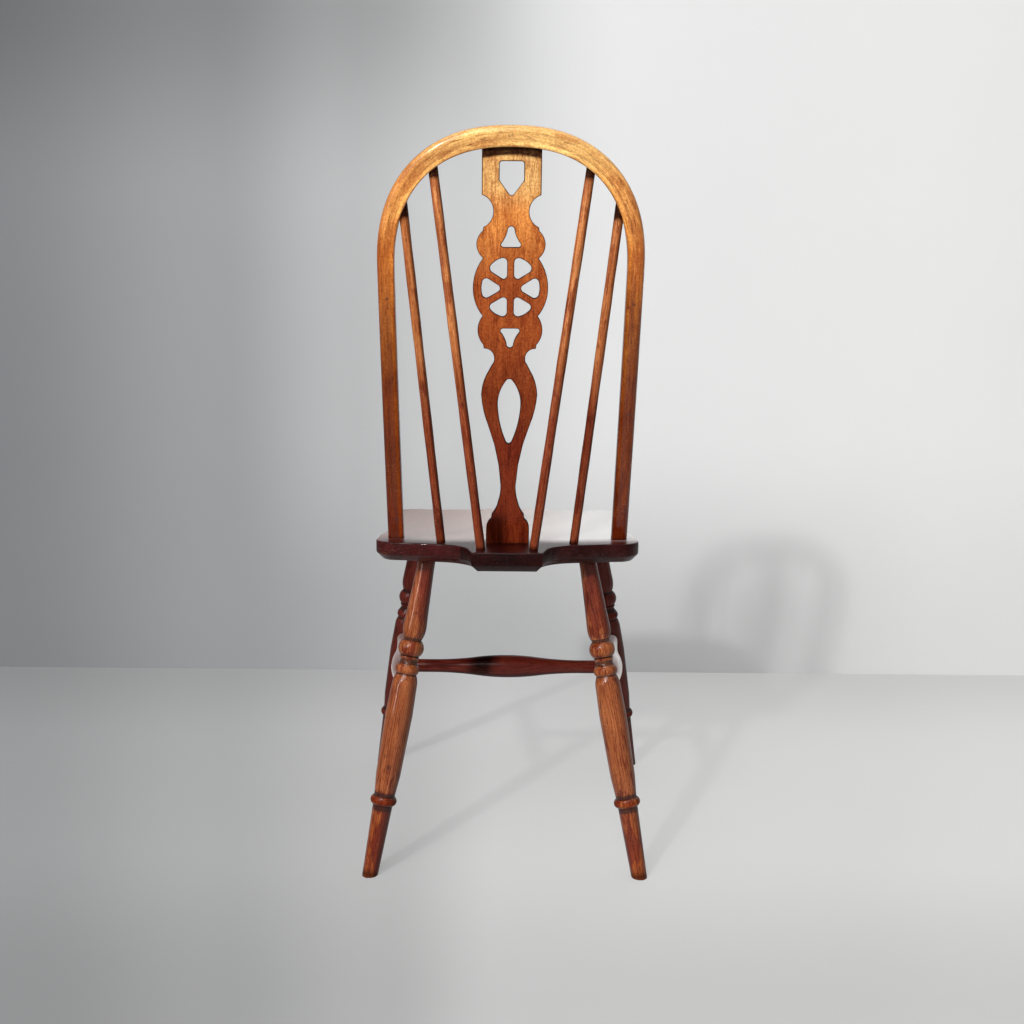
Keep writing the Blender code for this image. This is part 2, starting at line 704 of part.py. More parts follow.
def leg_profile(length, socket):
    """Radius against height above the foot, from inside the seat down past the floor."""
    lowest = length + LEG_SPARE
    taper = (LEG_RING_RADIUS - LEG_FOOT_RADIUS) / (length - LEG_LOWEST_BEAD)
    drops = [
        (-socket, LEG_TOP_RADIUS, 0.0),
        (0.0180, LEG_TOP_RADIUS, 0.0004),
        (0.0735, 0.0146, 0.0),
        (0.0985, 0.0160, 0.0012),
        (0.1165, 0.0123, 0.0),
        (0.1172, 0.0122, 0.0054),
        (0.1400, 0.0121, 0.0),
        (0.1406, 0.0133, 0.0),
        (0.1426, 0.0133, 0.0),
        (0.1432, 0.0124, -0.0014),
        (0.1513, 0.0137, 0.0),
        (0.1520, 0.0138, 0.0025),
        (0.1645, 0.0137, 0.0),
        (0.1660, 0.0144, 0.0008),
        (0.1800, 0.0173, 0.0004),
        (0.2200, 0.0185, 0.0006),
        (0.3030, 0.0166, 0.0003),
        (0.3285, 0.0142, 0.0),
        (0.3305, 0.0139, 0.0042),
        (LEG_LOWEST_BEAD, LEG_RING_RADIUS, 0.0),
        (lowest, LEG_FOOT_RADIUS - taper * LEG_SPARE, 0.0),
    ]
    # Drops run downwards, so the outside of the leg is on the left of the way
    points = half_outline([(drop, radius, -bulge) for drop, radius, bulge in drops], TURNING_STEP)
    return [(p.y, length - p.x) for p in points]


def make_leg(name, foot, top, side, seat, floor, material):
    """A turned leg, its socket under the seat, and its foot cut level with the floor."""
    low, high = leg_axis(foot, top, side)
    way = (high - low).normalized()
    wood_above = SEAT_THICKNESS - saddle_fall(high.x, high.y)
    socket = min(LEG_SOCKET_LONGEST, wood_above - LEG_SOCKET_WALL)
    profile = leg_profile((high - low).length, socket)
    leg = turned(name, profile, LEG_SIDES, along(low, high), material)
    cut(leg, floor)
    cut(seat, bore(name + "_bore", high - way * LEG_SPARE, high + way * (socket + FIT), LEG_TOP_RADIUS))
    return leg


# Stretchers

def rail_profile(length):
    """A plain rail with a long swelling in its middle, from top to bottom."""
    middle = length / 2
    shoulder = STRETCHER_BELLY_HALF * 0.48
    at_shoulder = STRETCHER_END_RADIUS + 0.5 * (STRETCHER_BELLY_RADIUS - STRETCHER_END_RADIUS)
    crown = STRETCHER_BELLY_RADIUS - at_shoulder
    runs = [
        (0.0, STRETCHER_END_RADIUS, 0.0),
        (middle - STRETCHER_BELLY_HALF, STRETCHER_END_RADIUS, -0.0007),
        (middle - shoulder, at_shoulder, crown),
        (middle + shoulder, at_shoulder, -0.0007),
        (middle + STRETCHER_BELLY_HALF, STRETCHER_END_RADIUS, 0.0),
        (length, STRETCHER_END_RADIUS, 0.0),
    ]
    points = half_outline([(run, radius, -bulge) for run, radius, bulge in runs], RAIL_STEP)
    return [(p.y, length - p.x) for p in points]


def make_rail(name, start, end, holders, material):
    """A stretcher from one middle line to another, and its sockets in the two pieces that hold it."""
    way = (end - start).normalized()
    rail = turned(name, rail_profile((end - start).length), RAIL_SIDES, along(start, end), material)
    reach = 3 * STRETCHER_BELLY_RADIUS
    cut(holders[0], bore(name + "_bore_a", start - way * FIT, start + way * reach, STRETCHER_END_RADIUS))
    cut(holders[1], bore(name + "_bore_b", end + way * FIT, end - way * reach, STRETCHER_END_RADIUS))
    return rail


# The chair

def build():
    """Make every piece of the chair."""
    golden = wood("golden_varnish", (0.45, 0.19, 0.055))
    amber = wood("amber_varnish", (0.33, 0.11, 0.035))
    russet = wood("russet_varnish", (0.20, 0.055, 0.022))
    dark = wood("dark_varnish", (0.085, 0.022, 0.014), 0.28)
    pale = wood("bare_wedge_wood", (0.38, 0.24, 0.12), 0.6)
    iron = steel("dark_pin_steel", (0.10, 0.08, 0.07))

    seat = make_seat(dark)
    bow = make_bow(golden)
    for side in (1, -1):
        make_wedge(side, bow, pale)
        make_stick("stick_" + side_name(side), OUTER_STICK_FOOT, OUTER_STICK_DROP, side, seat, bow, amber)
        make_stick("brace_stick_" + side_name(side), BRACE_STICK_FOOT, BRACE_STICK_DROP, side, seat, bow, amber)
        tenon_top, tenon_foot = tenon_ends(side, SEAT_CHAMFER)
        cut(seat, bore("bow_tenon_bore_" + side_name(side), tenon_top, tenon_foot, BOW_TENON_RADIUS))
    splat = make_splat(seat, bow, amber)
    make_pin(splat, bow, iron)

    reach = 2 * SEAT_FRONT_REACH
    floor = block("floor_cut", (-reach, -reach, -SEAT_HEIGHT), (reach, reach, 0.0))
    height = SEAT_UNDERSIDE - STRETCHER_DROP
    rails = []
    for side in (1, -1):
        rear = make_leg("rear_leg_" + side_name(side), REAR_LEG_FOOT, REAR_LEG_TOP, side, seat, floor, amber)
        front = make_leg("front_leg_" + side_name(side), FRONT_LEG_FOOT, FRONT_LEG_TOP, side, seat, floor, russet)
        start = leg_point(REAR_LEG_FOOT, REAR_LEG_TOP, side, height)
        end = leg_point(FRONT_LEG_FOOT, FRONT_LEG_TOP, side, height)
        rail = make_rail("side_stretcher_" + side_name(side), start, end, (rear, front), russet)
        rails.append((rail, (start + end) / 2))
    (right_rail, right_end), (left_rail, left_end) = rails
    make_rail("cross_stretcher", left_end, right_end, (left_rail, right_rail), russet)
    bpy.context.view_layer.update()


build()
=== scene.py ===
"""A bow-back kitchen chair in old varnished wood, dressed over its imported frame.

Every piece is modelled in metres in the frame's own place, +Z up, with the sitter facing +Y.
Two attributes go with each wooden piece. "grain" is the place of a point in the straight,
unturned blank that the piece was cut from, with Z along the fibres. "relief" is how far a
point stands proud of what lies round it, so that corners wear and grooves hold dirt.
"""
import math

import bmesh
import bpy
from bpy.props import FloatProperty, FloatVectorProperty, IntProperty, PointerProperty
from mathutils import Matrix, Vector, kdtree


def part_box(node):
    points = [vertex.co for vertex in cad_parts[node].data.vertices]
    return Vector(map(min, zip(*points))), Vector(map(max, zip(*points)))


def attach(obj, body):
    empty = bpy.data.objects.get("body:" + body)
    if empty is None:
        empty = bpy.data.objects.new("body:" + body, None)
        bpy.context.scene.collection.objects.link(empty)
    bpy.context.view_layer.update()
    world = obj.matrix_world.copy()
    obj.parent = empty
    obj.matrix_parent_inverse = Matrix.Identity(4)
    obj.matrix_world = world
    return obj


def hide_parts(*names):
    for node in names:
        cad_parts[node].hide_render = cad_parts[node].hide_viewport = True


bl_info = {
    "name": "Wheel-back Chair",
    "version": (1, 0, 0),
    "blender": (4, 5, 0),
    "location": "3D View > Sidebar > Chair",
    "description": "Builds the visible pieces of a worn bow-back chair on its packed frame",
    "category": "Add Mesh",
}

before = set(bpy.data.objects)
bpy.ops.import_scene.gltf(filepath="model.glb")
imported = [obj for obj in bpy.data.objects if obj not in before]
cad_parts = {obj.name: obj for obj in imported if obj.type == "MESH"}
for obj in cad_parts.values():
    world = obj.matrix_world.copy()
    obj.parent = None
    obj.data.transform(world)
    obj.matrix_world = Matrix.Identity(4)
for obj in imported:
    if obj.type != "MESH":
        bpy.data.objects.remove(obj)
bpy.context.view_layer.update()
SEAT_LOW, SEAT_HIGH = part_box("seat")

RIGHT = 1
LEFT = -1
SIDES = ((RIGHT, "right"), (LEFT, "left"))

# Each piece is cut from its own part of the tree: where its middle lies from the heart of the log
BLANKS = {
    "seat": (0.021, 0.090, 0.00), "bow": (0.062, 0.018, 0.30), "splat": (0.004, 0.071, 0.90),
    "stick_right": (0.031, 0.020, 1.7), "stick_left": (0.024, 0.029, 2.3),
    "brace_stick_right": (0.041, 0.008, 2.9), "brace_stick_left": (0.017, 0.036, 3.6),
    "rear_leg_right": (0.035, 0.052, 4.4), "rear_leg_left": (0.047, 0.030, 5.3),
    "front_leg_right": (0.026, 0.049, 6.1), "front_leg_left": (0.051, 0.022, 6.8),
    "side_stretcher_right": (0.030, 0.033, 7.5), "side_stretcher_left": (0.038, 0.019, 8.2),
    "cross_stretcher": (0.023, 0.044, 9.1), "wedge": (0.012, 0.015, 9.9),
}


# Sizes and colours that can be changed

def length(name, description, default):
    """A length setting."""
    return FloatProperty(name=name, description=description, default=default, min=0.0, precision=4,
                         unit="LENGTH", subtype="DISTANCE")


def angle(name, description, default):
    """An angle setting."""
    return FloatProperty(name=name, description=description, default=default, subtype="ANGLE",
                         unit="ROTATION")


def amount(name, description, default, low=0.0, high=200.0):
    """A plain number."""
    return FloatProperty(name=name, description=description, default=default, min=low, max=high)


def share(name, description, default):
    """A setting from nothing to all."""
    return FloatProperty(name=name, description=description, default=default, min=0.0, max=1.0,
                         subtype="FACTOR")


def colour(name, description, default):
    """A colour setting."""
    return FloatVectorProperty(name=name, description=description, default=default, size=3, min=0.0,
                               max=1.0, subtype="COLOR")


class ChairSeatSettings(bpy.types.PropertyGroup):
    """Sizes of the seat board."""
    chamfer: length("Chamfer", "Size of the slope round the underside", 0.009)
    top_round: length("Top arris", "Radius of the worn upper arris", 0.0018)
    corner_half: length("Half width at lobes", "Half width across the rear lobes", 0.1758)
    corner_inset: length("Lobe inset", "How far the lobe's curve runs in from its side", 0.0190)
    waist_half: length("Half width at waist", "Half width behind the middle", 0.1720)
    front_half: length("Half width in front", "Half width before the front corners", 0.1870)
    front_reach: length("Front reach", "From the bow's feet to the front edge", 0.362)
    rear_reach: length("Rear reach", "From the bow's feet to the rear edge of the lobes", 0.043)
    tail_half: length("Tail half width", "Half width of the tail between the brace sticks", 0.0448)
    tail_reach: length("Tail reach", "From the bow's feet to the end of the tail", 0.1165)
    saddle_depth: length("Saddle depth", "Depth of the two hollows", 0.013)
    saddle_offset: length("Saddle offset", "From the middle line to the middle of a hollow", 0.080)
    grid: length("Grid", "Spacing of the cuts that let the top be dished", 0.005)


class ChairBackSettings(bpy.types.PropertyGroup):
    """Sizes of the bow and the sticks."""
    lean: angle("Lean", "How far the back leans from upright", math.radians(12.77))
    bow_height: length("Bow height", "From the seat to the crown, up the lean", 0.5302)
    arch_rise: length("Arch rise", "Height of the arch of the bow's middle line", 0.157)
    bow_half: length("Bow half span", "Half the distance between the bow's legs", 0.1552)
    foot_half: length("Foot half span", "Half the distance between the bow's feet", 0.1512)
    bow_width: length("Bow width", "Width of the bow at its feet", 0.0212)
    bow_depth: length("Bow depth", "Depth of the bow at its feet", 0.0207)
    crown_swell: amount("Crown swell", "Thickness at the crown over that at the feet", 1.17, 0.5, 2.0)
    arch_power: amount("Arch fullness", "2 is an ellipse and more is squarer", 2.33, 1.5, 4.0)
    tenon_radius: length("Tenon radius", "Radius of the round ends below the bow", 0.0080)
    stick_radius: length("Stick radius", "Radius of the plain sticks", 0.0059)
    outer_drop: length("Outer stick drop", "From the crown to where an outer stick meets the bow", 0.065)
    brace_drop: length("Brace stick drop", "From the crown to where a brace stick meets the bow", 0.025)
    racking: amount("Racking", "How far the old back has racked to its right, per height",
                    0.0048, -0.02, 0.02)


class ChairSplatSettings(bpy.types.PropertyGroup):
    """Sizes of the pierced splat."""
    thickness: length("Thickness", "Thickness of the splat", 0.0085)
    reveal: length("Reveal", "How far the splat's back lies ahead of the bow's back", 0.0050)
    edge_round: length("Edge round", "Radius of the sawn edges' worn arrises", 0.0012)
    foot_half: length("Foot half width", "Half width of the splat's foot", 0.0282)
    top_half: length("Top half width", "Half width under the crown", 0.0360)
    wheel_drop: length("Wheel drop", "From the crown to the middle of the wheel", 0.1662)
    wheel_radius: length("Wheel radius", "Outer radius of the wheel", 0.0465)
    hole_radius: length("Rim radius", "Inner radius of the wheel's rim", 0.0364)
    hub_radius: length("Hub radius", "Radius of the hub", 0.0132)
    spoke_half: length("Spoke half width", "Half the width of a spoke", 0.0044)
    wheel_lift: length("Wheel lift", "How much taller the wheel is above its hub than below", 0.0027)
    spokes: IntProperty(name="Spokes", description="Number of spokes", default=6, min=3, max=12)


class ChairLegSettings(bpy.types.PropertyGroup):
    """Sizes of the turned legs and their stretchers."""
    top_radius: length("Top radius", "Radius of a leg at the seat", 0.0120)
    foot_radius: length("Foot radius", "Radius of a leg at the floor", 0.0105)
    ring_radius: length("Taper radius", "Radius just under the lowest ring", 0.0134)
    sides: IntProperty(name="Sides", description="Facets round a turned piece", default=64, min=12, max=128)
    rail_drop: length("Stretcher drop", "From the seat's underside to the stretchers", 0.1958)
    rail_end: length("Stretcher end radius", "Radius of a stretcher at its ends", 0.0098)
    rail_belly: length("Stretcher belly radius", "Radius of a stretcher in its middle", 0.0169)
    rail_belly_half: length("Stretcher belly half length", "Half the length of the swelling", 0.105)


class ChairFinishSettings(bpy.types.PropertyGroup):
    """Colours and wear of the varnish."""
    # The colours up the bow, splat, sticks and legs hold both the varnish's own darkening downwards and
    # painted light, brighter towards the top.
    bow_crown: colour("Bow crown", "Varnish at the top of the bow", (1, 0.64, 0.215))
    bow_shoulder: colour("Bow shoulder", "Varnish at the bow's shoulders", (1, 0.5, 0.135))
    bow_upper: colour("Bow upper", "Varnish below the shoulders", (0.7, 0.245, 0.042))
    bow_middle: colour("Bow middle", "Varnish half way down the bow", (0.37, 0.112, 0.016))
    bow_low: colour("Bow low", "Varnish on the lower bow", (0.225, 0.045, 0.0045))
    bow_foot: colour("Bow foot", "Varnish at the bow's feet", (0.216, 0.033, 0.0036))
    splat_top: colour("Splat top", "Varnish at the top of the splat", (1, 0.655, 0.245))
    splat_neck: colour("Splat neck", "Varnish above the wheel", (0.87, 0.35, 0.085))
    splat_wheel: colour("Splat wheel", "Varnish on the wheel", (0.48, 0.125, 0.029))
    splat_waist: colour("Splat waist", "Varnish below the wheel", (0.31, 0.067, 0.015))
    splat_foot: colour("Splat foot", "Varnish at the splat's foot", (0.24, 0.037, 0.01))
    stick_top: colour("Stick top", "Varnish on the upper sticks", (0.72, 0.3, 0.1))
    stick_foot: colour("Stick foot", "Varnish on the lower sticks", (0.35, 0.085, 0.03))
    leg_top: colour("Leg top", "Varnish on the rear legs' upper ends", (0.48, 0.152, 0.062))
    leg_middle: colour("Leg middle", "Varnish on the rear legs' middles", (0.43, 0.14, 0.044))
    leg_foot: colour("Leg foot", "Varnish at the rear legs' feet", (0.42, 0.103, 0.013))
    underframe: colour("Underframe", "Varnish on the front legs and stretchers", (0.155, 0.024, 0.014))
    board: colour("Seat", "Varnish on the seat", (0.12, 0.017, 0.018))
    grime: colour("Grime", "Dirt in grooves and at joints", (0.014, 0.006, 0.005))
    bare: colour("Bare wood", "Wood where the varnish has gone", (0.52, 0.30, 0.15))
    rub: share("Rubbed edges", "How far proud edges are rubbed", 0.55)
    dirt: share("Dirt", "How dark the grooves are", 0.75)


class ChairStageSettings(bpy.types.PropertyGroup):
    """The floor, the wall, the camera and the lamps."""
    wall_distance: length("Wall distance", "From the middle of the chair to the wall", 0.787)
    lens: amount("Lens", "Focal length in millimetres on a 36 mm sensor", 38.27, 10.0)
    camera_x: amount("Camera X", "Place of the camera across, in metres", 0.0058, -10.0)
    camera_y: amount("Camera Y", "Place of the camera along, in metres", -1.58, -10.0)
    camera_z: length("Camera height", "Height of the camera", 0.6898)
    pitch: angle("Pitch", "How far the camera looks down", 0.1385)
    roll: angle("Roll", "How far the camera is turned about its view", 0.0085)
    key_strength: amount("Key strength", "Strength of the distant lamp", 1.15)
    key_angle: angle("Key angle", "How wide the distant lamp looks", math.radians(3.0))
    soft_power: amount("Soft power", "Watts of the near soft lamp", 25.0)
    soft_size: length("Soft size", "Width of the near soft lamp", 1.3)
    high_power: amount("High power", "Watts of the wide lamp overhead", 12.0)
    side_power: amount("Side power", "Watts of the tall strip lamp at the left", 16.0)
    ambient: share("Ambient", "Strength of the light from all round", 0.36)


# Outlines

def arc_run(start, end, bulge, step):
    """Points from start up to, not including, end, on an arc that stands bulge to the right of the way."""
    start = Vector(start)
    end = Vector(end)
    if bulge == 0:
        return [start]
    chord = end - start
    turn = 4 * math.atan(2 * bulge / chord.length)
    count = math.ceil(abs(turn) / step)
    right = Vector((chord.y, -chord.x)).normalized()
    radius = (chord.length ** 2 / 4 + bulge ** 2) / (2 * bulge)
    centre = (start + end) / 2 + right * (bulge - radius)
    spoke = start - centre
    return [centre + Matrix.Rotation(turn * i / count, 2) @ spoke for i in range(count)]


def outline_through(corners, step):
    """Points through corners given as (x, y, bulge of the run to the next corner)."""
    points = []
    for here, there in zip(corners, corners[1:]):
        points += arc_run(here[:2], there[:2], here[2], step)
    points.append(Vector(corners[-1][:2]))
    return points


def mirrored(half):
    """Close a right half, which starts and ends on the middle line, with its mirror image."""
    return half + [Vector((-p.x, p.y)) for p in reversed(half[1:-1])]


def rounded_corners(corners, step):
    """Close an anticlockwise polygon of (x, y, radius) with each corner rounded to its radius."""
    points = []
    count = len(corners)
    for i, corner in enumerate(corners):
        here = Vector(corner[:2])
        before = (Vector(corners[i - 1][:2]) - here).normalized()
        after = (Vector(corners[(i + 1) % count][:2]) - here).normalized()
        half_angle = math.acos(max(-1.0, min(1.0, before.dot(after)))) / 2
        setback = corner[2] / math.tan(half_angle)
        bulge = corner[2] * (1 - math.cos(math.pi / 2 - half_angle))
        start = here + before * setback
        end = here + after * setback
        points += arc_run(start, end, bulge, step)
        points.append(end)
    return points


def resampled(points, spacing):
    """The same closed outline with no run longer than the spacing."""
    fine = []
    for here, there in zip(points, points[1:] + points[:1]):
        count = max(1, math.ceil((there - here).length / spacing))
        fine += [here.lerp(there, i / count) for i in range(count)]
    return fine


# Solids

def along(start, end):
    """A frame at start whose Z axis runs towards end."""
    way = Vector(end) - Vector(start)
    turn = Vector((0, 0, 1)).rotation_difference(way.normalized())
    return Matrix.Translation(start) @ turn.to_matrix().to_4x4()


def turned_blank(profile, sides):
    """Spin a profile of (radius, height) about Z into a closed piece."""
    shape = bmesh.new()
    points = [(0.0, profile[0][1])] + list(profile) + [(0.0, profile[-1][1])]
    verts = [shape.verts.new((r, 0, z)) for r, z in points]
    edges = [shape.edges.new(pair) for pair in zip(verts, verts[1:])]
    bmesh.ops.spin(shape, geom=verts + edges, cent=(0, 0, 0), axis=(0, 0, 1), angle=2 * math.pi,
                   steps=sides, use_merge=True)
    bmesh.ops.remove_doubles(shape, verts=shape.verts, dist=1e-6)
    bmesh.ops.recalc_face_normals(shape, faces=shape.faces)
    return shape


def swept_blank(section, places):
    """Draw a closed section through a row of places, each a 4 by 4 matrix."""
    shape = bmesh.new()
    grain = shape.verts.layers.float_vector.new("grain")
    verts = [shape.verts.new(places[0] @ Vector((p.x, p.y, 0))) for p in section]
    for vert, point in zip(verts, section):
        vert[grain] = (point.x, point.y, 0)
    face = shape.faces.new(verts)
    for here, there in zip(places, places[1:]):
        drawn = bmesh.ops.extrude_face_region(shape, geom=[face])["geom"]
        face = next(g for g in drawn if isinstance(g, bmesh.types.BMFace))
        verts = [g for g in drawn if isinstance(g, bmesh.types.BMVert)]
        bmesh.ops.transform(shape, matrix=there @ here.inverted(), verts=verts)
        run = (there.translation - here.translation).length
        for vert in verts:
            vert[grain] = vert[grain] + Vector((0, 0, run))
    bmesh.ops.recalc_face_normals(shape, faces=shape.faces)
    return shape


def grid_cuts(shape, axis, low, high, spacing):
    """Cut the whole shape with evenly spaced planes across one axis."""
    count = math.floor((high - low) / spacing)
    for i in range(1, count + 1):
        plane = Vector()
        plane[axis] = low + (high - low) * i / (count + 1)
        normal = Vector()
        normal[axis] = 1
        geom = shape.verts[:] + shape.edges[:] + shape.faces[:]
        bmesh.ops.bisect_plane(shape, geom=geom, plane_co=plane, plane_no=normal, dist=1e-5)


def set_grain(shape, turn=None):
    """Record each point's place in the blank before the piece is put where it belongs."""
    grain = shape.verts.layers.float_vector.get("grain") or shape.verts.layers.float_vector.new("grain")
    for vert in shape.verts:
        vert[grain] = turn @ vert.co if turn else vert.co


def shift_grain(shape, blank):
    """Move the grain to the piece's own part of the tree."""
    grain = shape.verts.layers.float_vector["grain"]
    for vert in shape.verts:
        vert[grain] = vert[grain] + Vector(blank)


def set_relief(shape, reach):
    """Record how far each point stands proud of the surface within reach of it."""
    relief = shape.verts.layers.float.new("relief")
    tree = kdtree.KDTree(len(shape.faces))
    faces = list(shape.faces)
    areas = [face.calc_area() for face in faces]
    for i, face in enumerate(faces):
        tree.insert(face.calc_center_median(), i)
    tree.balance()
    shape.normal_update()
    for vert in shape.verts:
        total = 0.0
        middle = Vector()
        for place, i, _ in tree.find_range(vert.co, reach):
            total += areas[i]
            middle += place * areas[i]
        if total:
            vert[relief] = (vert.co - middle / total).dot(vert.normal) / reach


def turned_relief(shape, profile, reach):
    """Relief of a turned piece, worked out along its profile."""
    relief = shape.verts.layers.float.new("relief")
    table = {}
    for radius, height in profile:
        around = [r for r, z in profile if abs(z - height) <= reach]
        middle = (min(around) + max(around)) / 2
        table[(round(radius, 5), round(height, 5))] = (radius - middle) / reach
    for vert in shape.verts:
        key = (round(math.hypot(vert.co.x, vert.co.y), 5), round(vert.co.z, 5))
        vert[relief] = table.get(key, 0.0)


def rack(shape, scene):
    """Lean a piece of the back to one side, as the joints of an old chair let it."""
    for vert in shape.verts:
        vert.co.x += scene.chair_back.racking * max(0.0, vert.co.z - SEAT_HIGH.z)


def set_shade(shape, amount_at):
    """Paint dirt at joints together with painted shade and painted shadows: amount_at takes a vertex in the
    piece's own blank.
    """
    shade = shape.verts.layers.float.new("shade")
    for vert in shape.verts:
        vert[shade] = max(0.0, min(1.0, amount_at(vert)))


def set_stain(shape, amount_at):
    """Where varnish has gone dark: amount_at takes a point in the piece's own blank."""
    stain = shape.verts.layers.float.new("stain")
    for vert in shape.verts:
        vert[stain] = max(-1.0, min(1.0, amount_at(vert.co)))


def painted_lee_shade(co, amount):
    """Painted shade down the right of a round piece's blank, the side away from the lamps at the left; on the
    cross stretcher that side is its underside.
    """
    turn = co.x / max(0.004, math.hypot(co.x, co.y))
    return amount * max(0.0, min(1.0, (turn - 0.35) / 0.55))


def near(value, middle, reach):
    """1 at the middle and 0 at reach from it."""
    return max(0.0, 1 - abs(value - middle) / reach)


def finish_piece(name, shape, material, nodes, sharp=math.radians(38)):
    """Turn a shape into a piece that rides on the frame and stands for its solids."""
    mesh = bpy.data.meshes.new(name)
    shape.to_mesh(mesh)
    shape.free()
    mesh.materials.append(material)
    mesh.shade_smooth()
    mesh.set_sharp_from_angle(angle=sharp)
    piece = bpy.data.objects.new(name, mesh)
    bpy.context.scene.collection.objects.link(piece)
    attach(piece, "root")
    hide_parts(*nodes)
    return piece


# Bow geometry, in the plane of its middle line: x across and s up the lean

def lean_frame(foot_y, lean):
    """A frame on the seat whose X runs across, Y up the lean, and Z out of the back."""
    return Matrix.Translation((0, foot_y, SEAT_HIGH.z)) @ Matrix.Rotation(math.pi / 2 + lean, 4, "X")


def foot_line(scene):
    """Y of the line through the bow's feet."""
    return SEAT_LOW.y + scene.chair_seat.tail_reach


def bow_frame(scene):
    """The frame of the bow's plane."""
    return lean_frame(foot_line(scene), scene.chair_back.lean)


def bow_centre_top(back):
    """Height up the lean of the bow's middle line at the crown."""
    return back.bow_height - back.bow_width * back.crown_swell / 2


def bow_half_at(back, s):
    """Half the distance between the bow's middle lines at height s up the lean."""
    spring = bow_centre_top(back) - back.arch_rise
    if s <= spring:
        down = (spring - s) / spring
        return back.bow_half - (back.bow_half - back.foot_half) * down ** 1.3
    up = min(1.0, (s - spring) / back.arch_rise)
    return back.bow_half * (1 - up ** back.arch_power) ** (1 / back.arch_power)


def bow_path(back, leg_steps, arch_steps):
    """Middle line from just inside the seat at the right foot over the crown to the left foot."""
    start = -0.006
    spring = bow_centre_top(back) - back.arch_rise
    heights = [start + (spring - start) * i / leg_steps for i in range(leg_steps)]
    right = [Vector((bow_half_at(back, s), s)) for s in heights]
    power = 2 / back.arch_power
    arch = []
    for i in range(arch_steps + 1):
        angle = math.pi * i / arch_steps
        across = math.copysign(abs(math.cos(angle)) ** power, math.cos(angle))
        rise = back.arch_rise * abs(math.sin(angle)) ** power
        arch.append(Vector((back.bow_half * across, spring + rise)))
    return right + arch + [Vector((-p.x, p.y)) for p in reversed(right)]


def bow_places(back, path):
    """Where the section stands along the path, its X outwards and its Y to the rear, with its swell."""
    spring = bow_centre_top(back) - back.arch_rise
    places = []
    for i, point in enumerate(path):
        way = (path[min(i + 1, len(path) - 1)] - path[max(i - 1, 0)]).normalized()
        up = max(0.0, (point.y - spring) / back.arch_rise)
        size = 1 + (back.crown_swell - 1) * up
        turn = Matrix(((way.y, 0, -way.x), (-way.x, 0, -way.y), (0, 1, 0))).to_4x4()
        place = Matrix.Translation((point.x, point.y, 0)) @ turn @ Matrix.Diagonal((size, size, size, 1))
        places.append(place)
    return places


def bow_section(back):
    """Flat back with one soft and one crisp arris, and a rounded front."""
    w = back.bow_width / 2
    d = back.bow_depth / 2
    corners = [(-w, -d, 0.0080), (w, -d, 0.0080), (w, d, 0.0070), (-w, d, 0.0014)]
    return resampled(rounded_corners(corners, math.radians(9)), 0.0016)


def section_relief(shape, section, reach):
    """Relief of a swept piece, worked out round its section."""
    relief = shape.verts.layers.float.new("relief")
    grain = shape.verts.layers.float_vector["grain"]
    table = {}
    for point in section:
        around = [p for p in section if (p - point).length <= reach]
        middle = sum(around, Vector((0, 0))) / len(around)
        table[(round(point.x, 5), round(point.y, 5))] = (point - middle).length / reach
    for vert in shape.verts:
        key = (round(vert[grain][0], 5), round(vert[grain][1], 5))
        vert[relief] = table.get(key, 0.0)


# Seat

def seat_outline(seat):
    """Plan of the seat from the bow's feet: a tail, lobes under the bow and a flared front."""
    front_corner_y = seat.front_reach - 0.0170
    front_side_y = front_corner_y - 0.075
    half = [
        (0.0, -seat.tail_reach, 0.0),
        (seat.tail_half, -seat.tail_reach, -0.0004),
        (seat.tail_half + 0.0055, -seat.tail_reach + 0.028, -0.0055),
        (seat.tail_half + 0.0370, -seat.rear_reach - 0.0146, -0.0018),
        (seat.corner_half - seat.corner_inset, -seat.rear_reach, 0.0080),
        (seat.corner_half, -0.0045, 0.0015),
        (seat.waist_half, 0.0605, -0.0035),
        (seat.front_half, front_side_y, 0.0135),
        (seat.front_half - 0.037, front_corner_y, 0.0043),
        (0.0, seat.front_reach, 0.0),
    ]
    return mirrored(outline_through(half, math.radians(5)))


def saddle_fall(seat, x, y):
    """How far the top of the seat is dished below its rim."""
    fall = 0.0
    for side in (RIGHT, LEFT):
        out_x = (x - side * seat.saddle_offset) / 0.150
        out_y = (y - 0.240) / 0.270
        drop = seat.saddle_depth * (1 - out_x * out_x - out_y * out_y)
        eased = 0.5 * (drop + math.sqrt(drop * drop + 0.0016 ** 2))
        fall = max(fall, eased) + 0.25 * min(fall, eased) * math.exp(-((fall - eased) / 0.002) ** 2)
    return max(0.0, fall - 0.0004)


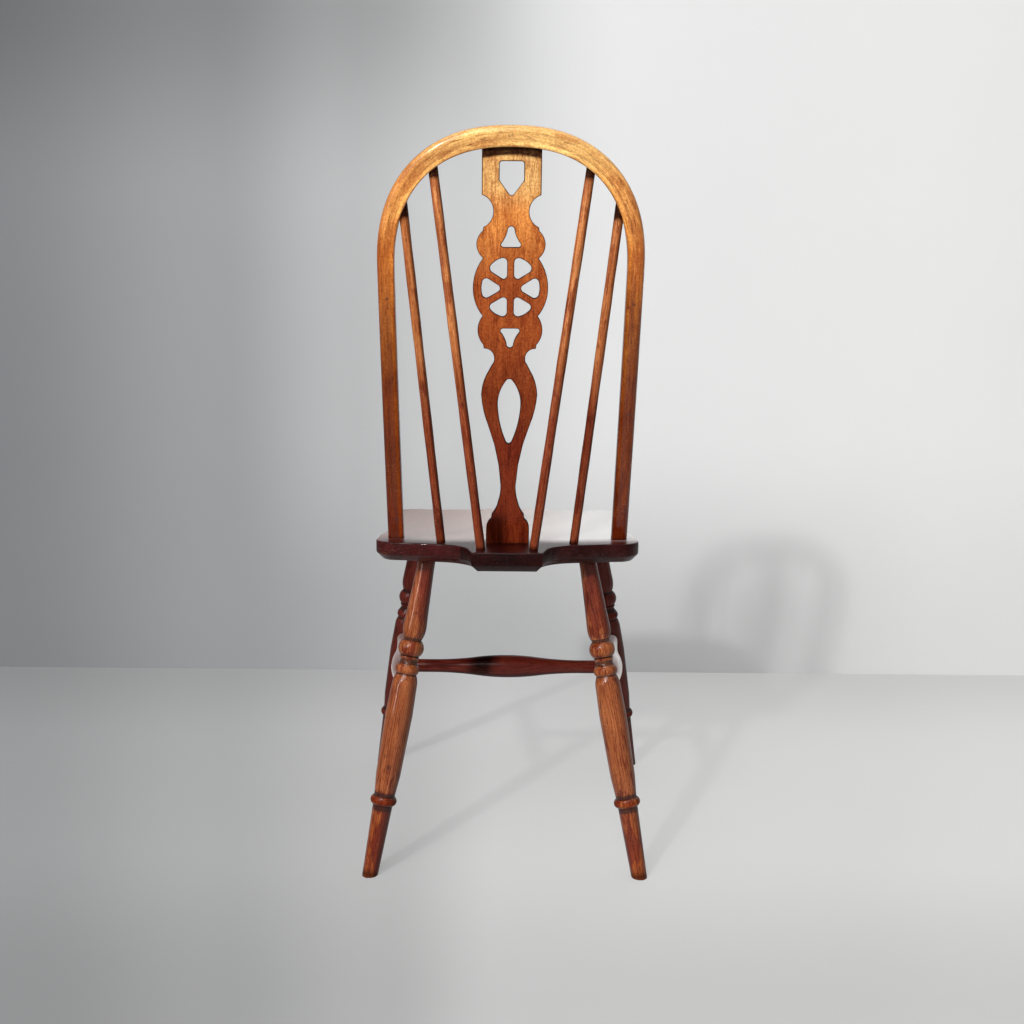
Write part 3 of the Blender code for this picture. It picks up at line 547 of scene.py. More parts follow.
class CHAIR_OT_seat(bpy.types.Operator):
    """Dished seat board with a chamfered underside"""
    bl_idname = "chair.seat"
    bl_label = "Seat"

    def execute(self, context):
        seat = context.scene.chair_seat
        foot_y = foot_line(context.scene)
        shape = bmesh.new()
        outline = seat_outline(seat)
        bottom = shape.faces.new([shape.verts.new((p.x, p.y, SEAT_LOW.z)) for p in outline])
        lifted = bmesh.ops.extrude_face_region(shape, geom=[bottom])["geom"]
        top_verts = [g for g in lifted if isinstance(g, bmesh.types.BMVert)]
        bmesh.ops.translate(shape, verts=top_verts, vec=(0, 0, SEAT_HIGH.z - SEAT_LOW.z))
        bmesh.ops.recalc_face_normals(shape, faces=shape.faces)
        for height, offset, steps in ((SEAT_LOW.z, seat.chamfer, 1), (SEAT_HIGH.z, seat.top_round, 4)):
            rim = [e for e in shape.edges if all(abs(v.co.z - height) < 1e-5 for v in e.verts)]
            bmesh.ops.bevel(shape, geom=rim, offset=offset, affect="EDGES", segments=steps,
                            profile=0.5, material=-1)
        arrises = [e for e in shape.edges if self.on_chamfer(e, seat)]
        bmesh.ops.bevel(shape, geom=arrises, offset=0.0011, affect="EDGES", segments=2, profile=0.5,
                        material=-1)
        grid_cuts(shape, 0, -seat.front_half, seat.front_half, seat.grid)
        grid_cuts(shape, 1, -seat.tail_reach, seat.front_reach, seat.grid)
        bmesh.ops.remove_doubles(shape, verts=shape.verts, dist=2e-5)
        for vert in shape.verts:
            if vert.co.z > SEAT_HIGH.z - seat.top_round - 1e-5:
                vert.co.z -= saddle_fall(seat, vert.co.x, vert.co.y)
        set_grain(shape, Matrix(((1, 0, 0), (0, 0, 1), (0, 1, 0))))
        shift_grain(shape, BLANKS["seat"])
        set_relief(shape, 0.006)
        rim_top = SEAT_HIGH.z - seat.top_round * 0.4

        def painted_seat_shade(vert):
            """Painted shade: the sides are darker than the top, most so on the tail and to the right, and the
            top darkens over the tail.
            """
            if vert.co.z > rim_top or vert.normal.z > 0.55:
                return 0.70 * max(0.0, min(1.0, (-0.018 - vert.co.y) / 0.028))
            return 0.78 if vert.co.y < -0.070 else 0.50 + 0.16 * max(-1.0, min(1.0, vert.co.x / 0.1))

        set_shade(shape, painted_seat_shade)
        bmesh.ops.translate(shape, verts=shape.verts, vec=(0, foot_y, 0))
        finish_piece("worn_seat", shape, seat_finish(context.scene), ["seat"])
        return {"FINISHED"}

    @staticmethod
    def on_chamfer(edge, seat):
        """Whether an edge is one of the two arrises of the chamfer, and runs along it."""
        low = all(abs(v.co.z - SEAT_LOW.z) < 1e-5 for v in edge.verts)
        high = all(abs(v.co.z - SEAT_LOW.z - seat.chamfer) < 1e-4 for v in edge.verts)
        return (low or high) and len(edge.link_faces) == 2 and edge.calc_face_angle() > math.radians(20)


class CHAIR_OT_bow(bpy.types.Operator):
    """Bent bow with its round tenons and their wedges"""
    bl_idname = "chair.bow"
    bl_label = "Bow"

    def execute(self, context):
        back = context.scene.chair_back
        path = bow_path(back, 60, 150)
        section = bow_section(back)
        shape = swept_blank(section, bow_places(back, path))
        section_relief(shape, section, 0.004)
        shift_grain(shape, BLANKS["bow"])
        inner = bow_centre_top(back) - back.bow_width * back.crown_swell * 0.42

        def joints(vert):
            """Dark where the bow meets the seat, and painted shade on its underside over the splat."""
            under = abs(vert.co.x) < 0.038 and vert.co.y < inner and vert.co.z < back.bow_depth * 0.55
            return max(near(vert.co.y, 0.0, 0.005) * 0.95, 0.9 if under and vert.co.y > inner - 0.02 else 0.0)

        set_shade(shape, joints)
        set_stain(shape, self.stain)
        bmesh.ops.transform(shape, matrix=bow_frame(context.scene), verts=shape.verts)
        rack(shape, context.scene)
        finish_piece("worn_bow", shape, back_finish(context.scene), ["bow"])
        for side, side_word in SIDES:
            self.tenon(context.scene, side, side_word)
        return {"FINISHED"}

    def tenon(self, scene, side, side_word):
        """The end of a bow tenon under the seat, with the wedge that spreads it."""
        back = scene.chair_back
        place = bow_frame(scene)
        x = side * back.foot_half
        reach = (SEAT_HIGH.z - SEAT_LOW.z + 0.0004) / math.cos(back.lean)
        low = place @ Vector((x, -reach, 0))
        high = place @ Vector((x, -0.010, 0))
        profile = [(back.tenon_radius, (high - low).length), (back.tenon_radius, 0.0006),
                   (back.tenon_radius - 0.0006, 0.0)]
        shape = turned_blank(profile, 40)
        set_grain(shape)
        shift_grain(shape, BLANKS["bow"])
        turned_relief(shape, profile, 0.003)
        bmesh.ops.transform(shape, matrix=along(low, high), verts=shape.verts)
        finish_piece("tenon_end_" + side_word, shape, back_finish(scene), [])
        self.wedge(scene, low, side_word)

    def wedge(self, scene, foot, side_word):
        """A wedge driven into the tenon's foot, a little proud of it."""
        low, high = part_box("bow_wedge_" + side_word)
        shape = bmesh.new()
        bmesh.ops.create_cube(shape, size=1.0)
        size = high - low + Vector((0, 0, 0.0006))
        bmesh.ops.scale(shape, verts=shape.verts, vec=size)
        tip = [v for v in shape.verts if v.co.z > 0]
        bmesh.ops.scale(shape, verts=tip, vec=(0.4, 1, 1))
        bmesh.ops.bevel(shape, geom=shape.edges[:], offset=0.0002, affect="EDGES", segments=1,
                        profile=0.5, material=-1)
        set_grain(shape)
        shift_grain(shape, BLANKS["wedge"])
        set_relief(shape, 0.004)
        middle = (low + high) / 2 - Vector((0, 0, 0.0005))
        bmesh.ops.translate(shape, verts=shape.verts, vec=middle)
        finish_piece("wedge_end_" + side_word, shape, wedge_finish(scene),
                     ["bow_wedge_" + side_word])

    @staticmethod
    def stain(co):
        """Dark varnish on the right shoulder, low on the right, and a little of it on the left."""
        if co.x > 0.08:
            return 0.8 * near(co.y, 0.37, 0.08) + 0.7 * near(co.y, 0.09, 0.09)
        if co.x < -0.08:
            return 0.35 * near(co.y, 0.27, 0.06) + 0.3 * near(co.y, 0.46, 0.06)
        return 0.0


class CHAIR_OT_sticks(bpy.types.Operator):
    """Four straight sticks, two under the bow and two braced from the tail"""
    bl_idname = "chair.sticks"
    bl_label = "Sticks"

    def execute(self, context):
        back = context.scene.chair_back
        for side, side_word in SIDES:
            self.stick(context.scene, "stick_" + side_word, (0.0882, -0.0355), back.outer_drop, side)
            self.stick(context.scene, "brace_stick_" + side_word, (0.0338, -0.0892), back.brace_drop, side)
        return {"FINISHED"}

    def stick(self, scene, node, foot, drop, side):
        """A hand-shaved stick from its seat socket to the middle of the bow."""
        back = scene.chair_back
        s = bow_centre_top(back) - drop
        high = bow_frame(scene) @ Vector((side * bow_half_at(back, s), s, 0))
        stand = Vector((side * foot[0], foot[1] + foot_line(scene), SEAT_HIGH.z))
        low = stand - (high - stand).normalized() * 0.010
        run = (high - low).length
        count = 200
        profile = []
        for i in range(count + 1):
            z = run * (1 - i / count)
            shaved = 0.00012 * math.sin(z * 41 + foot[0] * 90 + side) + 0.00008 * math.sin(z * 97 + side * 2)
            profile.append((back.stick_radius + shaved, z))
        shape = turned_blank(profile, 36)
        set_grain(shape)
        shift_grain(shape, BLANKS[node])
        shape.verts.layers.float.new("relief")
        under_bow = run - back.bow_width * (1.0 if foot[0] > 0.05 else 0.70)

        def socket_dirt_and_painted_shade(vert):
            """Dark at the seat socket, with the bow's painted shadow at the top and painted shade down the
            right side.
            """
            joint = max(near(vert.co.z, 0.010, 0.006), 2.0 * near(vert.co.z, under_bow, 0.014))
            return max(joint, painted_lee_shade(vert.co, 0.62))

        set_shade(shape, socket_dirt_and_painted_shade)
        bmesh.ops.transform(shape, matrix=along(low, high), verts=shape.verts)
        rack(shape, scene)
        finish_piece("worn_" + node, shape, stick_finish(scene), [node])


# Splat

def splat_half(splat, top):
    """Right half of the splat's outline, from the bottom of its foot to the top of its tongue."""
    wheel = top - splat.wheel_drop
    cusp = 0.0343
    cusp_rise = 0.0338
    tongue = top + 0.010
    return [
        (0.0, -0.006, 0.0),
        (splat.foot_half, -0.006, 0.0),
        (splat.foot_half, 0.0220, 0.0016),
        (0.0218, 0.0350, 0.0),
        (0.0210, 0.0410, -0.0012),
        (0.0130, 0.0575, -0.0010),
        (0.0098, 0.0800, -0.0032),
        (0.0268, wheel - 0.1712, 0.0016),
        (0.0356, wheel - 0.1320, 0.0011),
        (0.0303, wheel - 0.1096, 0.0),
        (0.0222, wheel - 0.0944, -0.0009),
        (0.0195, wheel - 0.0865, -0.0040),
        (0.0326, wheel - 0.0740, 0.0),
        (0.0334, wheel - 0.0690, 0.0066),
        (cusp, wheel - cusp_rise, splat.wheel_radius - cusp),
        (cusp, wheel + cusp_rise, 0.0078),
        (0.0346, wheel + 0.0690, 0.0),
        (0.0338, wheel + 0.0735, -0.0130),
        (splat.top_half, wheel + 0.1110, 0.0),
        (splat.top_half, tongue, 0.0),
        (0.0, tongue, 0.0),
    ]


def wheel_hole(splat, turn, wheel):
    """One opening between two spokes, as a rounded wedge that looks along turn."""
    half = math.pi / splat.spokes
    start = splat.spoke_half / math.sin(half)
    edge = math.asin(splat.spoke_half / splat.hole_radius)
    far_x = splat.hole_radius * math.cos(half - edge)
    far_y = splat.hole_radius * math.sin(half - edge)
    corners = rounded_corners([
        (start, 0.0, splat.hub_radius - start),
        (far_x, -far_y, 0.0052),
        (splat.hole_radius, 0.0, 0.020),
        (far_x, far_y, 0.0052),
    ], math.radians(12))
    spin = Matrix.Rotation(turn, 2)
    return [spin @ p + Vector((0, wheel)) for p in corners]


def splat_holes(splat, top):
    """The piercings: house shape, bell, wheel, lower bell and almond."""
    wheel = top - splat.wheel_drop
    step = math.radians(8)
    house = rounded_corners([
        (0.0, top - 0.0578, 0.0038),
        (0.0148, top - 0.0382, 0.0050),
        (0.0147, top - 0.0162, 0.0033),
        (-0.0147, top - 0.0162, 0.0033),
        (-0.0148, top - 0.0382, 0.0050),
    ], step)
    upper = mirrored(outline_through([
        (0.0, wheel + 0.0482, 0.0),
        (0.0086, wheel + 0.0482, 0.0015),
        (0.0117, wheel + 0.0524, -0.0010),
        (0.0043, wheel + 0.0688, 0.0014),
        (0.0, wheel + 0.0744, 0.0),
    ], step))
    lower = mirrored(outline_through([
        (0.0, wheel - 0.0729, 0.0013),
        (0.0040, wheel - 0.0683, -0.0010),
        (0.0115, wheel - 0.0534, 0.0015),
        (0.0084, wheel - 0.0490, 0.0),
        (0.0, wheel - 0.0490, 0.0),
    ], step))
    almond = mirrored(outline_through([
        (0.0, wheel - 0.1958, 0.0006),
        (0.0036, wheel - 0.1930, 0.0020),
        (0.0142, wheel - 0.1490, 0.0036),
        (0.0036, wheel - 0.1140, 0.0005),
        (0.0, wheel - 0.1123, 0.0),
    ], math.radians(3)))
    wheel_holes = [wheel_hole(splat, 2 * math.pi * i / splat.spokes, wheel) for i in range(splat.spokes)]
    return [house, upper, lower, almond] + wheel_holes


def eased_up(points, splat, top):
    """The upper half of the wheel is a little taller than the lower one."""
    wheel = top - splat.wheel_drop
    rise = 0.0338
    moved = []
    for point in points:
        height = (point[1] - wheel) / rise
        lift = max(0.0, min(height, (2.1 - height) / 1.1))
        moved.append(Vector((point[0], point[1] + splat.wheel_lift * lift)))
    return moved


class CHAIR_OT_splat(bpy.types.Operator):
    """Fretted splat with its wheel and its pin"""
    bl_idname = "chair.splat"
    bl_label = "Splat"

    def execute(self, context):
        scene = context.scene
        splat = scene.chair_splat
        back = scene.chair_back
        crown = bow_frame(scene) @ Vector((
            0, back.bow_height - back.bow_width * back.crown_swell,
            back.bow_depth * back.crown_swell / 2 - splat.reveal - splat.thickness / 2))
        foot_y = foot_line(scene) - 0.0434
        rise = crown - Vector((0, foot_y, SEAT_HIGH.z))
        place = lean_frame(foot_y, math.atan2(-rise.y, rise.z))
        outline = mirrored(outline_through(splat_half(splat, rise.length), math.radians(6)))
        loops = [resampled(outline, 0.006)] + splat_holes(splat, rise.length)
        shape = self.fretted([eased_up(loop, splat, rise.length) for loop in loops], splat)
        grid_cuts(shape, 0, -0.0465, 0.0465, 0.004)
        grid_cuts(shape, 1, -0.006, rise.length + 0.010, 0.004)
        grid_cuts(shape, 1, -0.0035, 0.0045, 0.0012)
        grid_cuts(shape, 1, rise.length - 0.013, rise.length + 0.001, 0.0014)
        bmesh.ops.remove_doubles(shape, verts=shape.verts, dist=2e-5)
        set_grain(shape, Matrix(((1, 0, 0), (0, 0, 1), (0, 1, 0))))
        shift_grain(shape, BLANKS["splat"])
        set_relief(shape, 0.0025)
        under_crown = rise.length
        flat = splat.thickness / 2 - 1e-5

        def edges_joint_and_painted_shadow(vert):
            """Dark on the sawn edges and where the foot meets the seat, with painted shadow under the crown
            and on the left of the foot.
            """
            # The painted shadow of the crown: a band that follows the crown's curve and goes almost black.
            crown_gap = under_crown - vert.co.x * vert.co.x * 3.2
            joint = max(near(vert.co.y, 0.0005, 0.003), min(1.0, 4.0 * near(vert.co.y, crown_gap, 0.0108)))
            return max(joint, 0.85 if abs(vert.co.z) < flat else 0.0, self.brace_shadow_on_foot(vert.co))

        set_shade(shape, edges_joint_and_painted_shadow)
        bmesh.ops.transform(shape, matrix=place, verts=shape.verts)
        rack(shape, scene)
        finish_piece("worn_splat", shape, splat_finish(scene), ["splat"])
        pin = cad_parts["splat_pin"]
        pin.material_slots[0].material = pin_finish(scene)
        return {"FINISHED"}

    @staticmethod
    def brace_shadow_on_foot(co):
        """The painted shadow of the left brace stick on the left half of the splat's foot."""
        across = max(0.0, min(1.0, (0.002 - co.x) / 0.010))
        return 0.62 * across * max(0.0, min(1.0, (0.045 - co.y) / 0.012))

    def fretted(self, loops, splat):
        """A board sawn to the given loops, its arrises eased."""
        curve = bpy.data.curves.new("splat_outline", "CURVE")
        curve.dimensions = "2D"
        curve.fill_mode = "BOTH"
        curve.extrude = splat.thickness / 2 - splat.edge_round
        curve.bevel_depth = splat.edge_round
        curve.bevel_resolution = 2
        curve.offset = -splat.edge_round
        for loop in loops:
            spline = curve.splines.new("POLY")
            spline.points.add(len(loop) - 1)
            for point, corner in zip(spline.points, loop):
                point.co = (corner[0], corner[1], 0, 1)
            spline.use_cyclic_u = True
        holder = bpy.data.objects.new("splat_outline", curve)
        bpy.context.scene.collection.objects.link(holder)
        depsgraph = bpy.context.evaluated_depsgraph_get()
        mesh = bpy.data.meshes.new_from_object(holder.evaluated_get(depsgraph))
        shape = bmesh.new()
        shape.from_mesh(mesh)
        bpy.data.meshes.remove(mesh)
        bpy.data.objects.remove(holder)
        bpy.data.curves.remove(curve)
        bmesh.ops.remove_doubles(shape, verts=shape.verts, dist=1e-6)
        bmesh.ops.recalc_face_normals(shape, faces=shape.faces)
        return shape


# Legs and stretchers

REAR_LEG = ((0.1818, -0.0742), (0.1090, 0.0077))
FRONT_LEG = ((0.2127, 0.3440), (0.1424, 0.3024))


def leg_line(scene, ends, side):
    """Middle line of a leg, from the floor to the seat's underside."""
    foot, top = ends
    line_y = foot_line(scene)
    return (Vector((side * foot[0], foot[1] + line_y, 0.0)),
            Vector((side * top[0], top[1] + line_y, SEAT_LOW.z)))


def leg_profile(legs, run):
    """Radius against height above the foot, from inside the seat down past the floor."""
    lowest_bead = 0.3435
    spare = 0.012
    taper = (legs.ring_radius - legs.foot_radius) / (run - lowest_bead)
    drops = [
        (-0.008, legs.top_radius, 0.0),
        (0.0180, legs.top_radius, 0.0004),
        (0.0735, 0.0146, 0.0),
        (0.0985, 0.0160, 0.0012),
        (0.1165, 0.0123, 0.0),
        (0.1172, 0.0122, 0.0054),
        (0.1400, 0.0121, 0.0),
        (0.1406, 0.0133, 0.0),
        (0.1426, 0.0133, 0.0),
        (0.1432, 0.0124, -0.0014),
        (0.1513, 0.0137, 0.0),
        (0.1520, 0.0138, 0.0025),
        (0.1645, 0.0137, 0.0),
        (0.1660, 0.0144, 0.0008),
        (0.1800, 0.0173, 0.0004),
        (0.2200, 0.0185, 0.0006),
        (0.3030, 0.0166, 0.0003),
        (0.3285, 0.0142, 0.0),
        (0.3305, 0.0139, 0.0042),
        (lowest_bead, legs.ring_radius, 0.0),
        (run + spare, legs.foot_radius - taper * spare, 0.0),
    ]
    points = outline_through([(drop, radius, -bulge) for drop, radius, bulge in drops], math.radians(8))
    fine = []
    for here, there in zip(points, points[1:]):
        count = max(1, math.ceil((there - here).length / 0.005))
        fine += [here.lerp(there, i / count) for i in range(count)]
    fine.append(points[-1])
    return [(p.y, run - p.x) for p in fine]


class CHAIR_OT_legs(bpy.types.Operator):
    """Four turned legs, cut level with the floor"""
    bl_idname = "chair.legs"
    bl_label = "Legs"

    def execute(self, context):
        scene = context.scene
        for side, side_word in SIDES:
            self.leg(scene, "rear_leg_" + side_word, REAR_LEG, side, "amber_varnish")
            self.leg(scene, "front_leg_" + side_word, FRONT_LEG, side, "russet_varnish")
        return {"FINISHED"}

    def leg(self, scene, node, ends, side, slot):
        """One turned leg."""
        legs = scene.chair_legs
        low, high = leg_line(scene, ends, side)
        profile = leg_profile(legs, (high - low).length)
        shape = turned_blank(profile, legs.sides)
        set_grain(shape)
        shift_grain(shape, BLANKS[node])
        turned_relief(shape, profile, 0.006)
        if ends is REAR_LEG:
            set_stain(shape, lambda co: self.stain(co, side))
        length_up = (high - low).length
        # Painted shade down the right side, the front legs a little darker all over, and dark at the top
        # where the leg enters the seat and at the foot.
        least = 0.0 if ends is REAR_LEG else 0.22
        set_shade(shape, lambda vert: max(least, painted_lee_shade(vert.co, 0.42), near(vert.co.z, length_up, 0.016),
                                          0.8 * near(vert.co.z, 0.002, 0.012)))
        bmesh.ops.transform(shape, matrix=along(low, high), verts=shape.verts)
        geom = shape.verts[:] + shape.edges[:] + shape.faces[:]
        cut = bmesh.ops.bisect_plane(shape, geom=geom, plane_co=(0, 0, 0), plane_no=(0, 0, -1),
                                     clear_outer=True)["geom_cut"]
        rim = [g for g in cut if isinstance(g, bmesh.types.BMEdge)]
        bmesh.ops.edgeloop_fill(shape, edges=rim)
        bmesh.ops.recalc_face_normals(shape, faces=shape.faces)
        rim = [e for e in shape.edges if all(abs(v.co.z) < 1e-6 for v in e.verts)]
        bmesh.ops.bevel(shape, geom=rim, offset=0.0009, affect="EDGES", segments=2, profile=0.5,
                        material=-1)
        for vert in shape.verts:
            vert.co.z = max(0.0, vert.co.z)
        finish = leg_finish(scene) if ends is REAR_LEG else underframe_finish(scene)
        finish_piece("worn_" + node, shape, finish, [node])

    @staticmethod
    def stain(co, side):
        """Dark varnish on the right of each rear leg's top and foot, and a clean front between."""
        turn = co.x / max(0.004, math.hypot(co.x, co.y))
        top = near(co.z, 0.395, 0.080) * (0.75 + turn if side == LEFT else 1.5 + 1.3 * turn)
        foot = near(co.z, 0.045, 0.050) * (1.1 + 1.4 * turn if side == LEFT else 0.5 - 0.4 * turn)
        collar = 0.6 * near(co.z, 0.103, 0.014)
        return top + foot + collar - 0.55 * near(co.z, 0.210, 0.110)


def rail_profile(legs, run):
    """A plain rail with a long swelling in its middle, from top to bottom."""
    middle = run / 2
    belly = legs.rail_belly_half
    shoulder = belly * 0.48
    at_shoulder = (legs.rail_end + legs.rail_belly) / 2
    crown = legs.rail_belly - at_shoulder
    runs = [
        (0.0, legs.rail_end, 0.0),
        (middle - belly, legs.rail_end, -0.0007),
        (middle - shoulder, at_shoulder, crown),
        (middle + shoulder, at_shoulder, -0.0007),
        (middle + belly, legs.rail_end, 0.0),
        (run, legs.rail_end, 0.0),
    ]
    points = outline_through([(along_it, radius, -bulge) for along_it, radius, bulge in runs],
                             math.radians(0.8))
    return [(p.y, run - p.x) for p in points]


class CHAIR_OT_stretchers(bpy.types.Operator):
    """Two side stretchers and the cross stretcher between them"""
    bl_idname = "chair.stretchers"
    bl_label = "Stretchers"

    def execute(self, context):
        scene = context.scene
        height = SEAT_LOW.z - scene.chair_legs.rail_drop
        middles = {}
        for side, side_word in SIDES:
            ends = []
            for leg in (REAR_LEG, FRONT_LEG):
                low, high = leg_line(scene, leg, side)
                ends.append(low.lerp(high, height / SEAT_LOW.z))
            middles[side] = (ends[0] + ends[1]) / 2
            self.rail(scene, "side_stretcher_" + side_word, ends[0], ends[1])
        self.rail(scene, "cross_stretcher", middles[LEFT], middles[RIGHT])
        return {"FINISHED"}

    def rail(self, scene, node, start, end):
        """One turned stretcher."""
        legs = scene.chair_legs
        profile = rail_profile(legs, (end - start).length)
        shape = turned_blank(profile, legs.sides)
        set_grain(shape)
        shift_grain(shape, BLANKS[node])
        turned_relief(shape, profile, 0.010)
        if node == "cross_stretcher":
            patch_along = (end - start).length / 2 - 0.040
            # Painted shade along the underside, and a dark patch on the left.
            set_shade(shape, lambda vert: max(painted_lee_shade(vert.co, 0.72), self.patch(vert.co, patch_along)))
        bmesh.ops.transform(shape, matrix=along(start, end), verts=shape.verts)
        finish = underframe_finish(scene) if node == "cross_stretcher" else side_rail_finish(scene)
        finish_piece("worn_" + node, shape, finish, [node])

    @staticmethod
    def patch(co, middle):
        """The dark patch on the cross stretcher's left, strongest on its upper side."""
        turn = co.x / max(0.004, math.hypot(co.x, co.y))
        return min(0.88, 1.5 * near(co.z + 0.006 * turn, middle, 0.029) ** 1.4) * (0.82 - 0.22 * turn)


# Node building

def add_node(tree, kind, **settings):
    """A node with its own settings."""
    made = tree.nodes.new(kind)
    for name, value in settings.items():
        setattr(made, name, value)
    return made


def feed(tree, socket, value):
    """Give a socket a link or a plain value."""
    if isinstance(value, bpy.types.NodeSocket):
        tree.links.new(value, socket)
    else:
        socket.default_value = value


def maths(tree, operation, a, b=0.0, clamp=False):
    """A sum of two numbers."""
    made = add_node(tree, "ShaderNodeMath", operation=operation, use_clamp=clamp)
    feed(tree, made.inputs[0], a)
    feed(tree, made.inputs[1], b)
    return made.outputs[0]


def vectors(tree, operation, a, b=(0, 0, 0)):
    """A sum of two vectors."""
    made = add_node(tree, "ShaderNodeVectorMath", operation=operation)
    feed(tree, made.inputs[0], a)
    feed(tree, made.inputs[1], b)
    return made.outputs["Value"] if operation in {"LENGTH", "DISTANCE"} else made.outputs["Vector"]


def noise_value(tree, vector, scale, detail=3.0, roughness=0.55, distortion=0.0):
    """A cloudy number."""
    made = add_node(tree, "ShaderNodeTexNoise")
    for name, value in (("Vector", vector), ("Scale", scale), ("Detail", detail),
                        ("Roughness", roughness), ("Distortion", distortion)):
        feed(tree, made.inputs[name], value)
    return made.outputs["Fac"]


def between(tree, value, low, high, to_low=0.0, to_high=1.0):
    """A number taken from one range to another with soft ends."""
    made = add_node(tree, "ShaderNodeMapRange", interpolation_type="SMOOTHSTEP")
    for name, number in (("Value", value), ("From Min", low), ("From Max", high),
                         ("To Min", to_low), ("To Max", to_high)):
        feed(tree, made.inputs[name], number)
    return made.outputs["Result"]


def stretched(tree, vector, scale):
    """A vector scaled along its axes."""
    return vectors(tree, "MULTIPLY", vector, scale)


def blended(tree, amount, a, b, way="MIX"):
    """Two colours mixed."""
    made = add_node(tree, "ShaderNodeMix", data_type="RGBA", blend_type=way)
    feed(tree, made.inputs["Factor"], amount)
    sockets = [s for s in made.inputs if s.type == "RGBA"]
    for socket, value in zip(sockets, (a, b)):
        feed(tree, socket, value if isinstance(value, bpy.types.NodeSocket) else (*value, 1.0))
    return next(s for s in made.outputs if s.type == "RGBA")


def ramp(tree, value, stops):
    """A colour that changes along a number."""
    made = add_node(tree, "ShaderNodeValToRGB")
    made.color_ramp.interpolation = "EASE"
    elements = made.color_ramp.elements
    while len(elements) < len(stops):
        elements.new(0.5)
    for element, (place, tone) in zip(elements, stops):
        element.position = place
        element.color = (*tone, 1.0)
    feed(tree, made.inputs["Fac"], value)
    return made.outputs["Color"]


def new_group(name, inputs, outputs):
    """A shader node group with named sockets: inputs as (name, type, default), outputs as (name, type)."""
    group = bpy.data.node_groups.new(name, "ShaderNodeTree")
    for socket_name, kind, default in inputs:
        made = group.interface.new_socket(name=socket_name, in_out="INPUT", socket_type="NodeSocket" + kind)
        made.default_value = default
    for socket_name, kind in outputs:
        group.interface.new_socket(name=socket_name, in_out="OUTPUT", socket_type="NodeSocket" + kind)
    return group, group.nodes.new("NodeGroupInput").outputs, group.nodes.new("NodeGroupOutput").inputs


def use_group(tree, group, **values):
    """Place a node group and feed its inputs, whose names have _ for each space."""
    made = add_node(tree, "ShaderNodeGroup", node_tree=group)
    for name, value in values.items():
        feed(tree, made.inputs[name.replace("_", " ")], value)
    return made.outputs


# Effects that several finishes share

def wood_grain_group():
    """Growth rings, streaks and pores of the wood, from a point's place in its blank."""
    name = "Wood Grain"
    if name in bpy.data.node_groups:
        return bpy.data.node_groups[name]
    group, given, out = new_group(
        name,
        [("Grain", "Vector", (0, 0, 0)), ("Ring Spacing", "Float", 0.0032), ("Wander", "Float", 0.010)],
        [("Rings", "Float"), ("Streaks", "Float"), ("Pores", "Float"), ("Clouds", "Float")])
    slow = stretched(group, given["Grain"], (1.0, 1.0, 0.10))
    bend = add_node(group, "ShaderNodeTexNoise")
    feed(group, bend.inputs["Vector"], slow)
    feed(group, bend.inputs["Scale"], 24.0)
    feed(group, bend.inputs["Detail"], 2.0)
    centred = vectors(group, "SUBTRACT", bend.outputs["Color"], (0.5, 0.5, 0.5))
    scaled = add_node(group, "ShaderNodeVectorMath", operation="SCALE")
    feed(group, scaled.inputs[0], centred)
    feed(group, scaled.inputs["Scale"], given["Wander"])
    moved = vectors(group, "ADD", given["Grain"], scaled.outputs["Vector"])
    across = vectors(group, "LENGTH", vectors(group, "MULTIPLY", moved, (1.0, 1.0, 0.0)))
    parts = add_node(group, "ShaderNodeSeparateXYZ")
    feed(group, parts.inputs[0], moved)
    cone = maths(group, "ADD", across, maths(group, "MULTIPLY", parts.outputs["Z"], 0.018))
    phase = maths(group, "DIVIDE", cone, given["Ring Spacing"])
    wave = maths(group, "SINE", maths(group, "MULTIPLY", phase, 2 * math.pi))
    year = add_node(group, "ShaderNodeTexWhiteNoise", noise_dimensions="1D")
    feed(group, year.inputs["W"], maths(group, "FLOOR", maths(group, "ADD", phase, 0.25)))
    late = between(group, wave, 0.15, 1.0)
    weight = between(group, year.outputs["Value"], 0.0, 1.0, 0.45, 1.0)
    feed(group, out["Rings"], maths(group, "MULTIPLY", late, weight))
    streaks = noise_value(group, stretched(group, given["Grain"], (1.0, 1.0, 0.022)), 340.0, 5.0, 0.65)
    feed(group, out["Streaks"], between(group, streaks, 0.38, 0.66))
    pores = noise_value(group, stretched(group, given["Grain"], (1.0, 1.0, 0.07)), 1150.0, 1.0)
    feed(group, out["Pores"], between(group, pores, 0.60, 0.70))
    clouds = noise_value(group, stretched(group, given["Grain"], (1.0, 1.0, 0.24)), 55.0, 3.0, 0.6, 0.5)
    feed(group, out["Clouds"], between(group, clouds, 0.32, 0.68))
    return group


